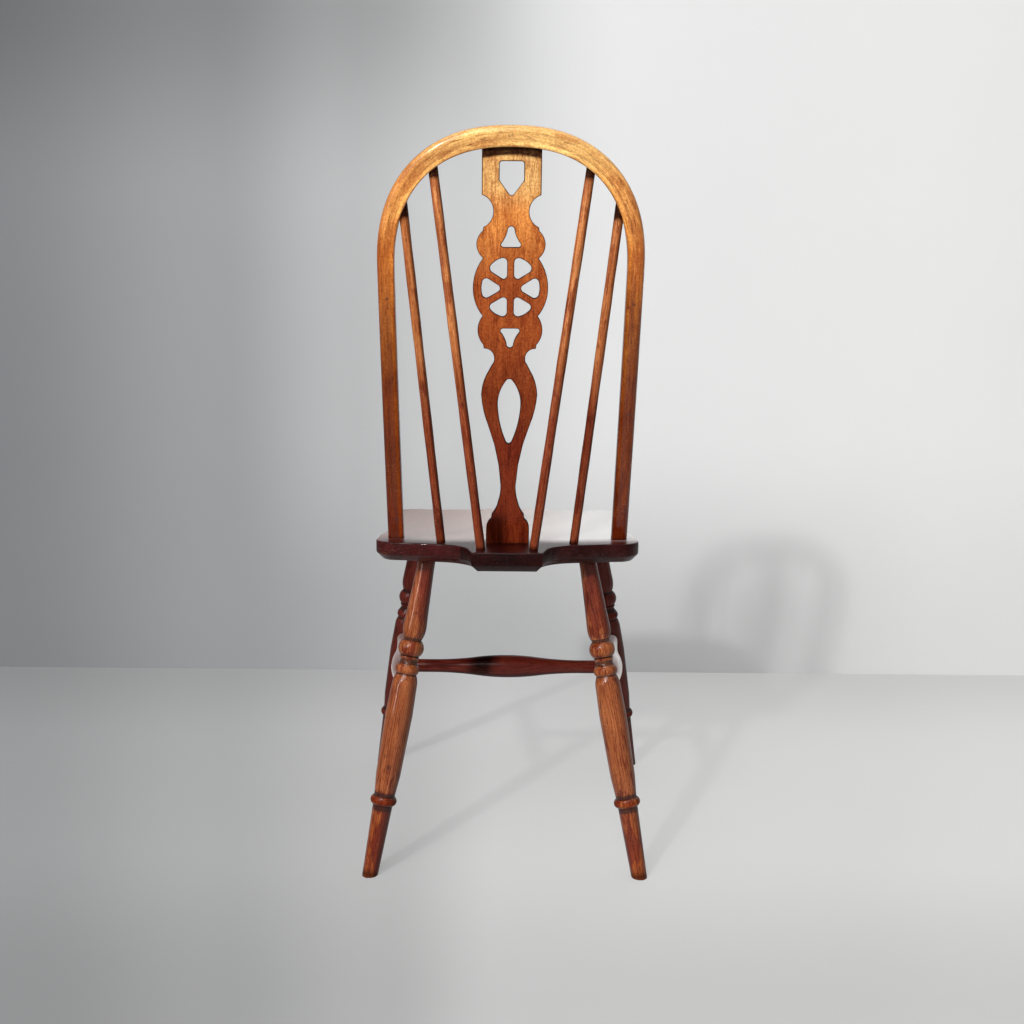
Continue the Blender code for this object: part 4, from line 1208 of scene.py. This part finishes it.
def old_varnish_group():
    """Patches where old varnish has gone dark and where it has worn thin."""
    name = "Old Varnish"
    if name in bpy.data.node_groups:
        return bpy.data.node_groups[name]
    group, given, out = new_group(
        name,
        [("Vector", "Vector", (0, 0, 0)), ("Grain", "Vector", (0, 0, 0)), ("Size", "Float", 0.03),
         ("Cover", "Float", 0.5), ("Stain", "Float", 0.0)],
        [("Dark", "Float"), ("Thin", "Float"), ("Mottle", "Float")])
    scale = maths(group, "DIVIDE", 1.0, given["Size"])
    broad = noise_value(group, stretched(group, given["Grain"], (1.0, 1.0, 0.42)), scale, 3.0, 0.6, 0.2)
    long = noise_value(group, stretched(group, given["Grain"], (1.0, 1.0, 0.07)), 330.0, 4.0, 0.7)
    both = maths(group, "ADD", maths(group, "MULTIPLY", broad, 0.58), maths(group, "MULTIPLY", long, 0.42))
    both = maths(group, "ADD", both, maths(group, "MULTIPLY", given["Stain"], 0.13))
    edge = maths(group, "SUBTRACT", 0.66, maths(group, "MULTIPLY", given["Cover"], 0.32))
    feed(group, out["Dark"], between(group, both, edge, maths(group, "ADD", edge, 0.05)))
    low = maths(group, "SUBTRACT", edge, 0.16)
    feed(group, out["Thin"], between(group, both, low, maths(group, "SUBTRACT", low, 0.07)))
    mottle = noise_value(group, given["Vector"], 420.0, 3.0, 0.6)
    feed(group, out["Mottle"], between(group, mottle, 0.35, 0.65))
    return group


def edge_wear_group():
    """Rubbed corners and dirty grooves, from the relief of the surface."""
    name = "Edge Wear"
    if name in bpy.data.node_groups:
        return bpy.data.node_groups[name]
    group, given, out = new_group(
        name,
        [("Vector", "Vector", (0, 0, 0)), ("Relief", "Float", 0.0), ("Proud", "Float", 0.12),
         ("Sunk", "Float", 0.10)],
        [("Rubbed", "Float"), ("Grime", "Float")])
    ragged = maths(group, "SUBTRACT", noise_value(group, given["Vector"], 260.0, 4.0, 0.65), 0.5)
    broad = maths(group, "SUBTRACT", noise_value(group, given["Vector"], 34.0, 2.0), 0.5)
    shaken = maths(group, "ADD", maths(group, "MULTIPLY", ragged, 0.16),
                   maths(group, "MULTIPLY", broad, 0.22))
    proud = maths(group, "ADD", given["Relief"], shaken)
    feed(group, out["Rubbed"], between(group, proud, maths(group, "MULTIPLY", given["Proud"], 0.6),
                                       maths(group, "MULTIPLY", given["Proud"], 1.8)))
    sunk = maths(group, "SUBTRACT", maths(group, "MULTIPLY", ragged, 0.08), given["Relief"])
    feed(group, out["Grime"], between(group, sunk, maths(group, "MULTIPLY", given["Sunk"], 0.3),
                                      maths(group, "MULTIPLY", given["Sunk"], 1.4)))
    return group


def scratches_group():
    """Fine scratches in two directions."""
    name = "Scratches"
    if name in bpy.data.node_groups:
        return bpy.data.node_groups[name]
    group, given, out = new_group(name, [("Vector", "Vector", (0, 0, 0)), ("Amount", "Float", 0.5)],
                                  [("Lines", "Float")])
    lines = []
    for angle, scale in ((0.5, 1300.0), (-0.9, 1000.0)):
        turn = add_node(group, "ShaderNodeVectorRotate", rotation_type="EULER_XYZ")
        feed(group, turn.inputs["Vector"], given["Vector"])
        feed(group, turn.inputs["Rotation"], (0.3 * angle, 0.2, angle))
        long = stretched(group, turn.outputs["Vector"], (1.0, 0.018, 1.0))
        line = noise_value(group, long, scale, 0.0)
        lines.append(between(group, line, 0.73, 0.78))
    where = between(group, noise_value(group, given["Vector"], 22.0, 2.0), 0.44, 0.62)
    both = maths(group, "MULTIPLY", maths(group, "MAXIMUM", lines[0], lines[1]), where)
    feed(group, out["Lines"], maths(group, "MULTIPLY", both, given["Amount"]))
    return group


def mark_group():
    """A ragged round mark at one place, such as a dent, or dirt round a joint."""
    name = "Mark"
    if name in bpy.data.node_groups:
        return bpy.data.node_groups[name]
    group, given, out = new_group(
        name,
        [("Vector", "Vector", (0, 0, 0)), ("Centre", "Vector", (0, 0, 0)), ("Radius", "Float", 0.004)],
        [("Mask", "Float")])
    distance = vectors(group, "DISTANCE", given["Vector"], given["Centre"])
    ragged = between(group, noise_value(group, given["Vector"], 600.0, 2.0), 0.3, 0.7, 0.75, 1.3)
    share_out = maths(group, "DIVIDE", maths(group, "MULTIPLY", distance, ragged), given["Radius"])
    feed(group, out["Mask"], between(group, share_out, 1.0, 0.55))
    return group


# Finishes

def marks_mask(tree, coordinates, marks):
    """All of a finish's marks together, each given as (centre, radius)."""
    total = None
    for centre, radius in marks:
        mask = use_group(tree, mark_group(), Vector=coordinates, Centre=centre, Radius=radius)["Mask"]
        total = mask if total is None else maths(tree, "MAXIMUM", total, mask)
    return total


def varnished_wood(scene, name, stops, look, marks=()):
    """Old varnish over wood, with painted shade and painted glare: stops are (height, colour) up the chair,
    and look holds the amounts.
    """
    if name in bpy.data.materials:
        return bpy.data.materials[name]
    finish = scene.chair_finish
    material = bpy.data.materials.new(name)
    material.use_nodes = True
    tree = material.node_tree
    shader = tree.nodes["Principled BSDF"]
    place = add_node(tree, "ShaderNodeTexCoord").outputs["Object"]
    grain = add_node(tree, "ShaderNodeAttribute", attribute_name="grain").outputs["Vector"]
    relief = add_node(tree, "ShaderNodeAttribute", attribute_name="relief").outputs["Fac"]
    shade = add_node(tree, "ShaderNodeAttribute", attribute_name="shade").outputs["Fac"]
    split = add_node(tree, "ShaderNodeSeparateXYZ")
    feed(tree, split.inputs[0], place)
    # Colour by height: partly the varnish darkening down the chair and partly painted light, brighter towards
    # the top.
    base = ramp(tree, split.outputs["Z"], stops)

    wood = use_group(tree, wood_grain_group(), Grain=grain, Ring_Spacing=look["ring"], Wander=look["wander"])
    stain = add_node(tree, "ShaderNodeAttribute", attribute_name="stain").outputs["Fac"]
    varnish = use_group(tree, old_varnish_group(), Vector=place, Grain=grain, Size=look["patch"],
                        Cover=look["cover"], Stain=stain)
    wear = use_group(tree, edge_wear_group(), Vector=place, Relief=relief, Proud=look["proud"],
                     Sunk=look["sunk"])
    scratch = use_group(tree, scratches_group(), Vector=place, Amount=look["scratch"])["Lines"]

    tone = blended(tree, maths(tree, "MULTIPLY", wood["Clouds"], look["clouds"]), base,
                   (0.66, 0.52, 0.46), "MULTIPLY")
    tone = blended(tree, maths(tree, "MULTIPLY", wood["Rings"], look["rings"]), tone,
                   (0.50, 0.34, 0.28), "MULTIPLY")
    tone = blended(tree, maths(tree, "MULTIPLY", wood["Streaks"], look["streaks"]), tone,
                   (0.60, 0.44, 0.38), "MULTIPLY")
    tone = blended(tree, maths(tree, "MULTIPLY", wood["Pores"], look["pores"]), tone,
                   (0.32, 0.20, 0.18), "MULTIPLY")
    tone = blended(tree, maths(tree, "MULTIPLY", varnish["Mottle"], look["mottle"]), tone,
                   (0.70, 0.52, 0.42), "MULTIPLY")
    # Painted shade: the tone darkens where the surface turns away from the view, so round pieces look shaded
    # at their sides; the same facing drives the painted glare below.
    depth = add_node(tree, "ShaderNodeLayerWeight")
    depth.inputs["Blend"].default_value = 0.35
    tone = blended(tree, maths(tree, "MULTIPLY", depth.outputs["Facing"], look["deep"]), tone,
                   (0.22, 0.12, 0.11), "MULTIPLY")
    tone = blended(tree, maths(tree, "MULTIPLY", varnish["Dark"], look["dark"]), tone,
                   look["dark_tint"], "MULTIPLY")
    tone = blended(tree, maths(tree, "MULTIPLY", wear["Rubbed"], finish.rub), tone,
                   look["rub_tint"], "MULTIPLY")
    tone = blended(tree, maths(tree, "MULTIPLY", wear["Grime"], finish.dirt), tone, finish.grime)
    tone = blended(tree, maths(tree, "MULTIPLY", scratch, 0.6), tone, finish.bare)
    # Painted glare: seen at a low angle, the surface is mixed towards a pale tone, paler to the right and
    # fading out towards the back, standing in for a reflection.
    if look["glance"]:
        low_view = between(tree, depth.outputs["Facing"], 0.50, 0.78)
        right = between(tree, split.outputs["X"], -0.20, 0.16, 0.22, 1.0)
        ahead = between(tree, split.outputs["Y"], -0.150, -0.090)
        painted_glare = maths(tree, "MULTIPLY", maths(tree, "MULTIPLY", low_view, right), look["glance"])
        pale = blended(tree, right, (0.90, 0.52, 0.37), (1.0, 0.97, 0.95))
        tone = blended(tree, maths(tree, "MULTIPLY", painted_glare, ahead), tone, pale)
    # The shade attribute, dirt at joints together with painted shade and shadows, darkens the tone almost to
    # black, broken a little by the mottle.
    painted_shade_and_dirt = maths(tree, "MULTIPLY", shade, between(tree, varnish["Mottle"], 0.0, 1.0, 1.2, 0.9), clamp=True)
    tone = blended(tree, painted_shade_and_dirt, tone, (0.05, 0.03, 0.03), "MULTIPLY")
    if marks:
        tone = blended(tree, maths(tree, "MULTIPLY", marks_mask(tree, place, marks), 0.75), tone,
                       (0.070, 0.022, 0.014))
    feed(tree, shader.inputs["Base Color"], tone)

    rough = look["rough"]
    for mask, more in ((wear["Rubbed"], 0.14), (wear["Grime"], 0.25), (varnish["Thin"], 0.12),
                       (varnish["Mottle"], 0.06)):
        rough = maths(tree, "ADD", rough, maths(tree, "MULTIPLY", mask, more))
    feed(tree, shader.inputs["Roughness"], rough)
    glossy = maths(tree, "SUBTRACT", 1.0, maths(tree, "MAXIMUM", wear["Rubbed"], shade))
    coat = maths(tree, "MULTIPLY", glossy, look["coat"])
    feed(tree, shader.inputs["Coat Weight"], coat)
    shader.inputs["Coat Roughness"].default_value = look["coat_rough"]
    shader.inputs["Coat IOR"].default_value = 1.5
    shader.inputs["Specular IOR Level"].default_value = look["specular"]
    shader.inputs["Sheen Weight"].default_value = look["sheen"]
    shader.inputs["Sheen Roughness"].default_value = 0.30
    shader.inputs["Sheen Tint"].default_value = (1.0, 0.90, 0.86, 1.0)

    height = maths(tree, "MULTIPLY", wood["Pores"], -0.35)
    for mask, more in ((wood["Rings"], 0.20), (wood["Streaks"], -0.25), (varnish["Dark"], 0.30),
                       (varnish["Mottle"], 0.10)):
        height = maths(tree, "ADD", height, maths(tree, "MULTIPLY", mask, more))
    height = maths(tree, "SUBTRACT", height, scratch)
    bump = add_node(tree, "ShaderNodeBump")
    bump.inputs["Strength"].default_value = look["bump"]
    bump.inputs["Distance"].default_value = 0.0004
    feed(tree, bump.inputs["Height"], height)
    feed(tree, shader.inputs["Normal"], bump.outputs["Normal"])
    return material


def look_of(**changes):
    """The amounts of an ordinary piece, with this piece's own changes."""
    look = {
        "ring": 0.0030, "wander": 0.010, "clouds": 0.45, "rings": 0.40, "streaks": 0.40, "pores": 0.40,
        "patch": 0.035, "cover": 0.35, "dark": 0.55, "dark_tint": (0.50, 0.30, 0.30),
        "proud": 0.16, "sunk": 0.10, "rub_tint": (1.35, 1.55, 1.7), "scratch": 0.35, "rough": 0.34,
        "coat": 0.25, "coat_rough": 0.08, "bump": 0.35, "specular": 0.12, "mottle": 0.30, "deep": 0.5,
        "sheen": 0.0, "glance": 0.0,
    }
    look.update(changes)
    return look


def back_finish(scene):
    """Golden at the crown, going to red-brown at the feet, partly the varnish's own colour and partly painted
    light that falls off down the bow.
    """
    finish = scene.chair_finish
    stops = [(0.469, finish.bow_foot), (0.545, finish.bow_low), (0.640, finish.bow_low),
             (0.712, finish.bow_middle), (0.812, finish.bow_upper), (0.890, finish.bow_shoulder),
             (0.945, finish.bow_crown)]
    look = look_of(rings=0.35, streaks=0.50, pores=0.75, clouds=0.9, cover=0.40, dark=0.60, ring=0.0085,
                   wander=0.045, coat=0.70, coat_rough=0.12, patch=0.012, mottle=0.75, specular=0.05,
                   dark_tint=(0.62, 0.42, 0.34))
    dents = [((0.0016, -0.2422, 0.9541), 0.0024), ((-0.0012, -0.2422, 0.9534), 0.0022),
             ((-0.1526, -0.1991, 0.7641), 0.0026), ((0.1563, -0.1981, 0.7597), 0.0025),
             ((0.1492, -0.1973, 0.7559), 0.0020), ((0.1562, -0.1668, 0.6214), 0.0028),
             ((-0.1488, -0.1341, 0.4770), 0.0032)]
    return varnished_wood(scene, "bow_varnish", stops, look, dents)


def splat_finish(scene):
    """The same varnish on the flecked wood of the splat."""
    finish = scene.chair_finish
    stops = [(0.470, finish.splat_foot), (0.575, finish.splat_foot), (0.640, finish.splat_waist),
             (0.775, finish.splat_wheel), (0.862, finish.splat_neck), (0.905, finish.splat_top)]
    look = look_of(rings=0.25, streaks=0.42, pores=0.70, clouds=0.80, cover=0.42, dark=0.60, ring=0.006,
                   mottle=0.90, patch=0.016, coat=0.15, specular=0.05, dark_tint=(0.58, 0.38, 0.34))
    return varnished_wood(scene, "splat_varnish", stops, look)


def stick_finish(scene):
    """Pinker varnish on the sticks."""
    finish = scene.chair_finish
    stops = [(0.500, finish.stick_foot), (0.600, finish.stick_foot), (0.750, finish.stick_top)]
    look = look_of(rings=0.60, streaks=1.0, pores=0.7, clouds=0.9, cover=0.44, dark=0.80, ring=0.0024,
                   patch=0.016, mottle=0.6, coat=0.25, specular=0.05)
    return varnished_wood(scene, "stick_varnish", stops, look)


def leg_finish(scene):
    """Orange-brown varnish with dark patches on the rear legs."""
    finish = scene.chair_finish
    stops = [(0.040, finish.leg_foot), (0.130, finish.leg_middle), (0.330, finish.leg_middle),
             (0.400, finish.leg_top)]
    look = look_of(rings=0.90, streaks=0.85, pores=0.9, clouds=0.70, cover=0.46, dark=0.90, patch=0.024,
                   ring=0.0025, bump=0.5, mottle=0.5, coat=0.6, specular=0.05, dark_tint=(0.48, 0.21, 0.22))
    dents = [((-0.1571, -0.1800, 0.1470), 0.0036)]
    return varnished_wood(scene, "leg_varnish", stops, look, dents)


def underframe_finish(scene):
    """Dark red-brown varnish on the front legs and stretchers."""
    finish = scene.chair_finish
    stops = [(0.0, finish.underframe), (0.30, finish.underframe)]
    look = look_of(rings=0.60, streaks=0.70, cover=0.42, dark=0.80, coat=0.30, specular=0.05)
    return varnished_wood(scene, "underframe_varnish", stops, look)


def side_rail_finish(scene):
    """The side stretchers, whose flanks seen at a glancing angle take a painted pale glare."""
    finish = scene.chair_finish
    stops = [(0.0, finish.underframe), (0.30, finish.underframe)]
    look = look_of(rings=0.45, streaks=0.45, cover=0.40, dark=0.60, sheen=0.9, deep=0.0, coat=0.8,
                   glance=1.0)
    return varnished_wood(scene, "side_rail_varnish", stops, look)


def seat_finish(scene):
    """Very dark varnish on the seat, rubbed on its upper arris, with a painted pale glare on the top where it
    is seen at a low angle.
    """
    finish = scene.chair_finish
    stops = [(0.40, finish.board), (0.46, finish.board)]
    look = look_of(rings=0.60, streaks=0.80, pores=0.6, clouds=1.0, cover=0.40, dark=0.85, rough=0.30,
                   coat=0.72, coat_rough=0.12, scratch=0.35, mottle=0.7, ring=0.005, sheen=0.0, deep=0.0,
                   glance=0.95, specular=0.1, rub_tint=(0.9, 0.7, 0.7))
    return varnished_wood(scene, "seat_varnish", stops, look)


def wedge_finish(scene):
    """Bare end grain."""
    finish = scene.chair_finish
    stops = [(0.0, finish.bare), (1.0, finish.bare)]
    look = look_of(rings=0.35, streaks=0.35, coat=0.0, rough=0.62)
    return varnished_wood(scene, "wedge_wood", stops, look)


def pin_finish(scene):
    """Steel gone dark with age."""
    name = "pin_steel"
    if name in bpy.data.materials:
        return bpy.data.materials[name]
    material = bpy.data.materials.new(name)
    material.use_nodes = True
    tree = material.node_tree
    shader = tree.nodes["Principled BSDF"]
    place = add_node(tree, "ShaderNodeTexCoord").outputs["Object"]
    rust = between(tree, noise_value(tree, place, 2600.0, 3.0), 0.4, 0.6)
    feed(tree, shader.inputs["Base Color"], blended(tree, rust, (0.06, 0.045, 0.04), (0.12, 0.045, 0.02)))
    feed(tree, shader.inputs["Roughness"], between(tree, rust, 0.0, 1.0, 0.45, 0.8))
    feed(tree, shader.inputs["Metallic"], maths(tree, "SUBTRACT", 1.0, rust))
    return material


# Stage

def painted(name, tree_colour, even):
    """Flat paint for the wall or the floor, with faint smudges and nothing to see from behind.

    even is the share of it that light doesn't change.
    """
    material = bpy.data.materials.new(name)
    material.use_nodes = True
    tree = material.node_tree
    shader = tree.nodes["Principled BSDF"]
    place = add_node(tree, "ShaderNodeTexCoord").outputs["Object"]
    smudge = between(tree, noise_value(tree, place, 3.0, 4.0, 0.6), 0.3, 0.7, 0.0, 0.06)
    grey = blended(tree, smudge, tree_colour(tree, place), (0.8, 0.8, 0.8), "MULTIPLY")
    feed(tree, shader.inputs["Base Color"], grey)
    shader.inputs["Roughness"].default_value = 0.75
    shader.inputs["Specular IOR Level"].default_value = 0.25
    plain = add_node(tree, "ShaderNodeEmission")
    feed(tree, plain.inputs["Color"], grey)
    ray = add_node(tree, "ShaderNodeLightPath").outputs
    seen = maths(tree, "MAXIMUM", ray["Is Camera Ray"], ray["Is Glossy Ray"])
    seen = maths(tree, "MAXIMUM", seen, ray["Is Transmission Ray"])
    mix = add_node(tree, "ShaderNodeMixShader")
    feed(tree, mix.inputs["Fac"], maths(tree, "MULTIPLY", seen, even))
    tree.links.new(shader.outputs["BSDF"], mix.inputs[1])
    tree.links.new(plain.outputs["Emission"], mix.inputs[2])
    through = add_node(tree, "ShaderNodeMixShader")
    tree.links.new(add_node(tree, "ShaderNodeNewGeometry").outputs["Backfacing"], through.inputs["Fac"])
    tree.links.new(mix.outputs["Shader"], through.inputs[1])
    tree.links.new(add_node(tree, "ShaderNodeBsdfTransparent").outputs["BSDF"], through.inputs[2])
    tree.links.new(through.outputs["Shader"], tree.nodes["Material Output"].inputs["Surface"])
    return material


def wall_grey_with_painted_light(tree, place):
    """The wall's grey with painted light: darker to the left and at the upper left, palest at the upper
    right.
    """
    split = add_node(tree, "ShaderNodeSeparateXYZ")
    feed(tree, split.inputs[0], place)
    across = maths(tree, "ADD", maths(tree, "MULTIPLY", split.outputs["X"], 0.4), 0.5)
    high = ramp(tree, across, [
        (0.05, (0.218, 0.222, 0.230)), (0.25, (0.320, 0.324, 0.330)), (0.36, (0.455, 0.457, 0.460)),
        (0.45, (0.560, 0.561, 0.562)), (0.60, (0.750, 0.750, 0.745)), (0.95, (0.810, 0.810, 0.795))])
    low = ramp(tree, across, [
        (0.05, (0.230, 0.234, 0.242)), (0.25, (0.320, 0.324, 0.330)), (0.44, (0.440, 0.442, 0.444)),
        (0.66, (0.580, 0.580, 0.576)), (0.90, (0.730, 0.730, 0.720))])
    tone = blended(tree, between(tree, split.outputs["Z"], 0.55, 0.10), high, low)
    corner = maths(tree, "MULTIPLY", between(tree, split.outputs["Z"], 1.0, 1.45),
                   between(tree, split.outputs["X"], 0.10, -0.25))
    return blended(tree, corner, tone, (0.64, 0.64, 0.64), "MULTIPLY")


def floor_grey_with_painted_light(tree, place):
    """The floor's grey with painted light: it pales from left to right, in lines that meet in front of the
    chair, and darkens by the wall and in front.
    """
    split = add_node(tree, "ShaderNodeSeparateXYZ")
    feed(tree, split.inputs[0], place)
    far = maths(tree, "MAXIMUM", maths(tree, "ADD", split.outputs["Y"], 1.58), 0.90)
    fan = maths(tree, "ADD", maths(tree, "DIVIDE", split.outputs["X"], far), 0.5)
    tone = ramp(tree, fan, [
        (0.03, (0.335, 0.337, 0.340)), (0.22, (0.415, 0.416, 0.418)), (0.38, (0.515, 0.515, 0.513)),
        (0.50, (0.660, 0.660, 0.656)), (0.68, (0.665, 0.665, 0.659)), (0.82, (0.670, 0.670, 0.662)),
        (1.00, (0.700, 0.700, 0.690))])
    by_wall = between(tree, split.outputs["Y"], 0.30, 0.80)
    tone = blended(tree, by_wall, tone, (0.88, 0.88, 0.88), "MULTIPLY")
    in_front = between(tree, split.outputs["Y"], -0.10, -0.50)
    return blended(tree, in_front, tone, (0.82, 0.82, 0.82), "MULTIPLY")


def stage_plane(name, material, matrix, size):
    """A flat piece of the stage."""
    shape = bmesh.new()
    bmesh.ops.create_grid(shape, x_segments=8, y_segments=8, size=size)
    bmesh.ops.transform(shape, matrix=matrix, verts=shape.verts)
    mesh = bpy.data.meshes.new(name)
    shape.to_mesh(mesh)
    shape.free()
    mesh.materials.append(material)
    made = bpy.data.objects.new(name, mesh)
    bpy.context.scene.collection.objects.link(made)
    return made


def lamp(name, kind, place, target, size, power, height=None, lean=0.0):
    """A soft lamp that looks at a target: size is a width for an area lamp and an angle for a sun."""
    light = bpy.data.lights.new(name, kind)
    light.energy = power
    if kind == "SUN":
        light.angle = size
    else:
        light.shape = "RECTANGLE" if height else "DISK"
        light.size = size
        light.size_y = height or size
    made = bpy.data.objects.new(name, light)
    way = Vector(target) - Vector(place)
    aimed = Matrix.Translation(place) @ way.to_track_quat("-Z", "Y").to_matrix().to_4x4()
    made.matrix_world = aimed @ Matrix.Rotation(lean, 4, "Z")
    bpy.context.scene.collection.objects.link(made)


class CHAIR_OT_stage(bpy.types.Operator):
    """Pale floor and wall, soft lamps and the camera"""
    bl_idname = "chair.stage"
    bl_label = "Stage"

    def execute(self, context):
        scene = context.scene
        stage = scene.chair_stage
        scene.view_settings.view_transform = "Standard"
        stage_plane("floor", painted("floor_paint", floor_grey_with_painted_light, 0.62), Matrix.Identity(4), 6.0)
        upright = Matrix.Translation((0, stage.wall_distance, 0)) @ Matrix.Rotation(math.pi / 2, 4, "X")
        stage_plane("wall", painted("wall_paint", wall_grey_with_painted_light, 0.25), upright, 6.0)

        camera = bpy.data.objects.new("camera", bpy.data.cameras.new("camera"))
        camera.data.lens = stage.lens
        camera.data.sensor_width = 36.0
        camera.data.sensor_fit = "HORIZONTAL"
        place = Matrix.Translation((stage.camera_x, stage.camera_y, stage.camera_z))
        tilt = Matrix.Rotation(math.pi / 2 - stage.pitch, 4, "X")
        camera.matrix_world = place @ tilt @ Matrix.Rotation(stage.roll, 4, "Z")
        scene.collection.objects.link(camera)
        scene.camera = camera

        lamp("key", "SUN", (-0.592, -1.024, 1.22), (0, 0, 0.55), stage.key_angle, stage.key_strength)
        lamp("soft", "AREA", (-0.5, -1.5, 1.9), (0, -0.1, 0.6), stage.soft_size, stage.soft_power)
        lamp("high", "AREA", (0.2, -0.3, 2.9), (0.2, -0.29, 0.0), 3.0, stage.high_power)
        lamp("side", "AREA", (-1.75, -1.95, 1.45), (0, -0.1, 0.70), 0.13, stage.side_power, 2.1,
             math.radians(-28))
        world = scene.world or bpy.data.worlds.new("world")
        scene.world = world
        world.use_nodes = True
        back = world.node_tree.nodes.get("Background") or world.node_tree.nodes.new("ShaderNodeBackground")
        back.inputs["Color"].default_value = (0.95, 0.97, 1.0, 1.0)
        back.inputs["Strength"].default_value = stage.ambient
        return {"FINISHED"}


class CHAIR_PT_panel(bpy.types.Panel):
    """Buttons for every piece of the chair"""
    bl_idname = "CHAIR_PT_panel"
    bl_label = "Wheel-back Chair"
    bl_space_type = "VIEW_3D"
    bl_region_type = "UI"
    bl_category = "Chair"

    def draw(self, context):
        for operator in OPERATORS:
            self.layout.operator(operator.bl_idname)
        for name in SETTINGS:
            group = getattr(context.scene, name)
            box = self.layout.box()
            box.label(text=group.bl_rna.description)
            for setting in group.bl_rna.properties:
                if setting.identifier not in {"rna_type", "name"}:
                    box.prop(group, setting.identifier)


SETTINGS = {
    "chair_seat": ChairSeatSettings, "chair_back": ChairBackSettings, "chair_splat": ChairSplatSettings,
    "chair_legs": ChairLegSettings, "chair_finish": ChairFinishSettings, "chair_stage": ChairStageSettings,
}
OPERATORS = (CHAIR_OT_stage, CHAIR_OT_seat, CHAIR_OT_bow, CHAIR_OT_sticks, CHAIR_OT_splat, CHAIR_OT_legs,
             CHAIR_OT_stretchers)


def register():
    """Make the settings, operators and panel known."""
    for cls in (*SETTINGS.values(), *OPERATORS, CHAIR_PT_panel):
        bpy.utils.register_class(cls)
    for name, group in SETTINGS.items():
        setattr(bpy.types.Scene, name, PointerProperty(type=group))


def unregister():
    """Take them away again."""
    for name in SETTINGS:
        delattr(bpy.types.Scene, name)
    for cls in (CHAIR_PT_panel, *reversed(OPERATORS), *SETTINGS.values()):
        bpy.utils.unregister_class(cls)


def main():
    """Build the stage and every piece."""
    register()
    for operator in OPERATORS:
        group, name = operator.bl_idname.split(".")
        getattr(getattr(bpy.ops, group), name)()


if __name__ == "__main__":
    main()
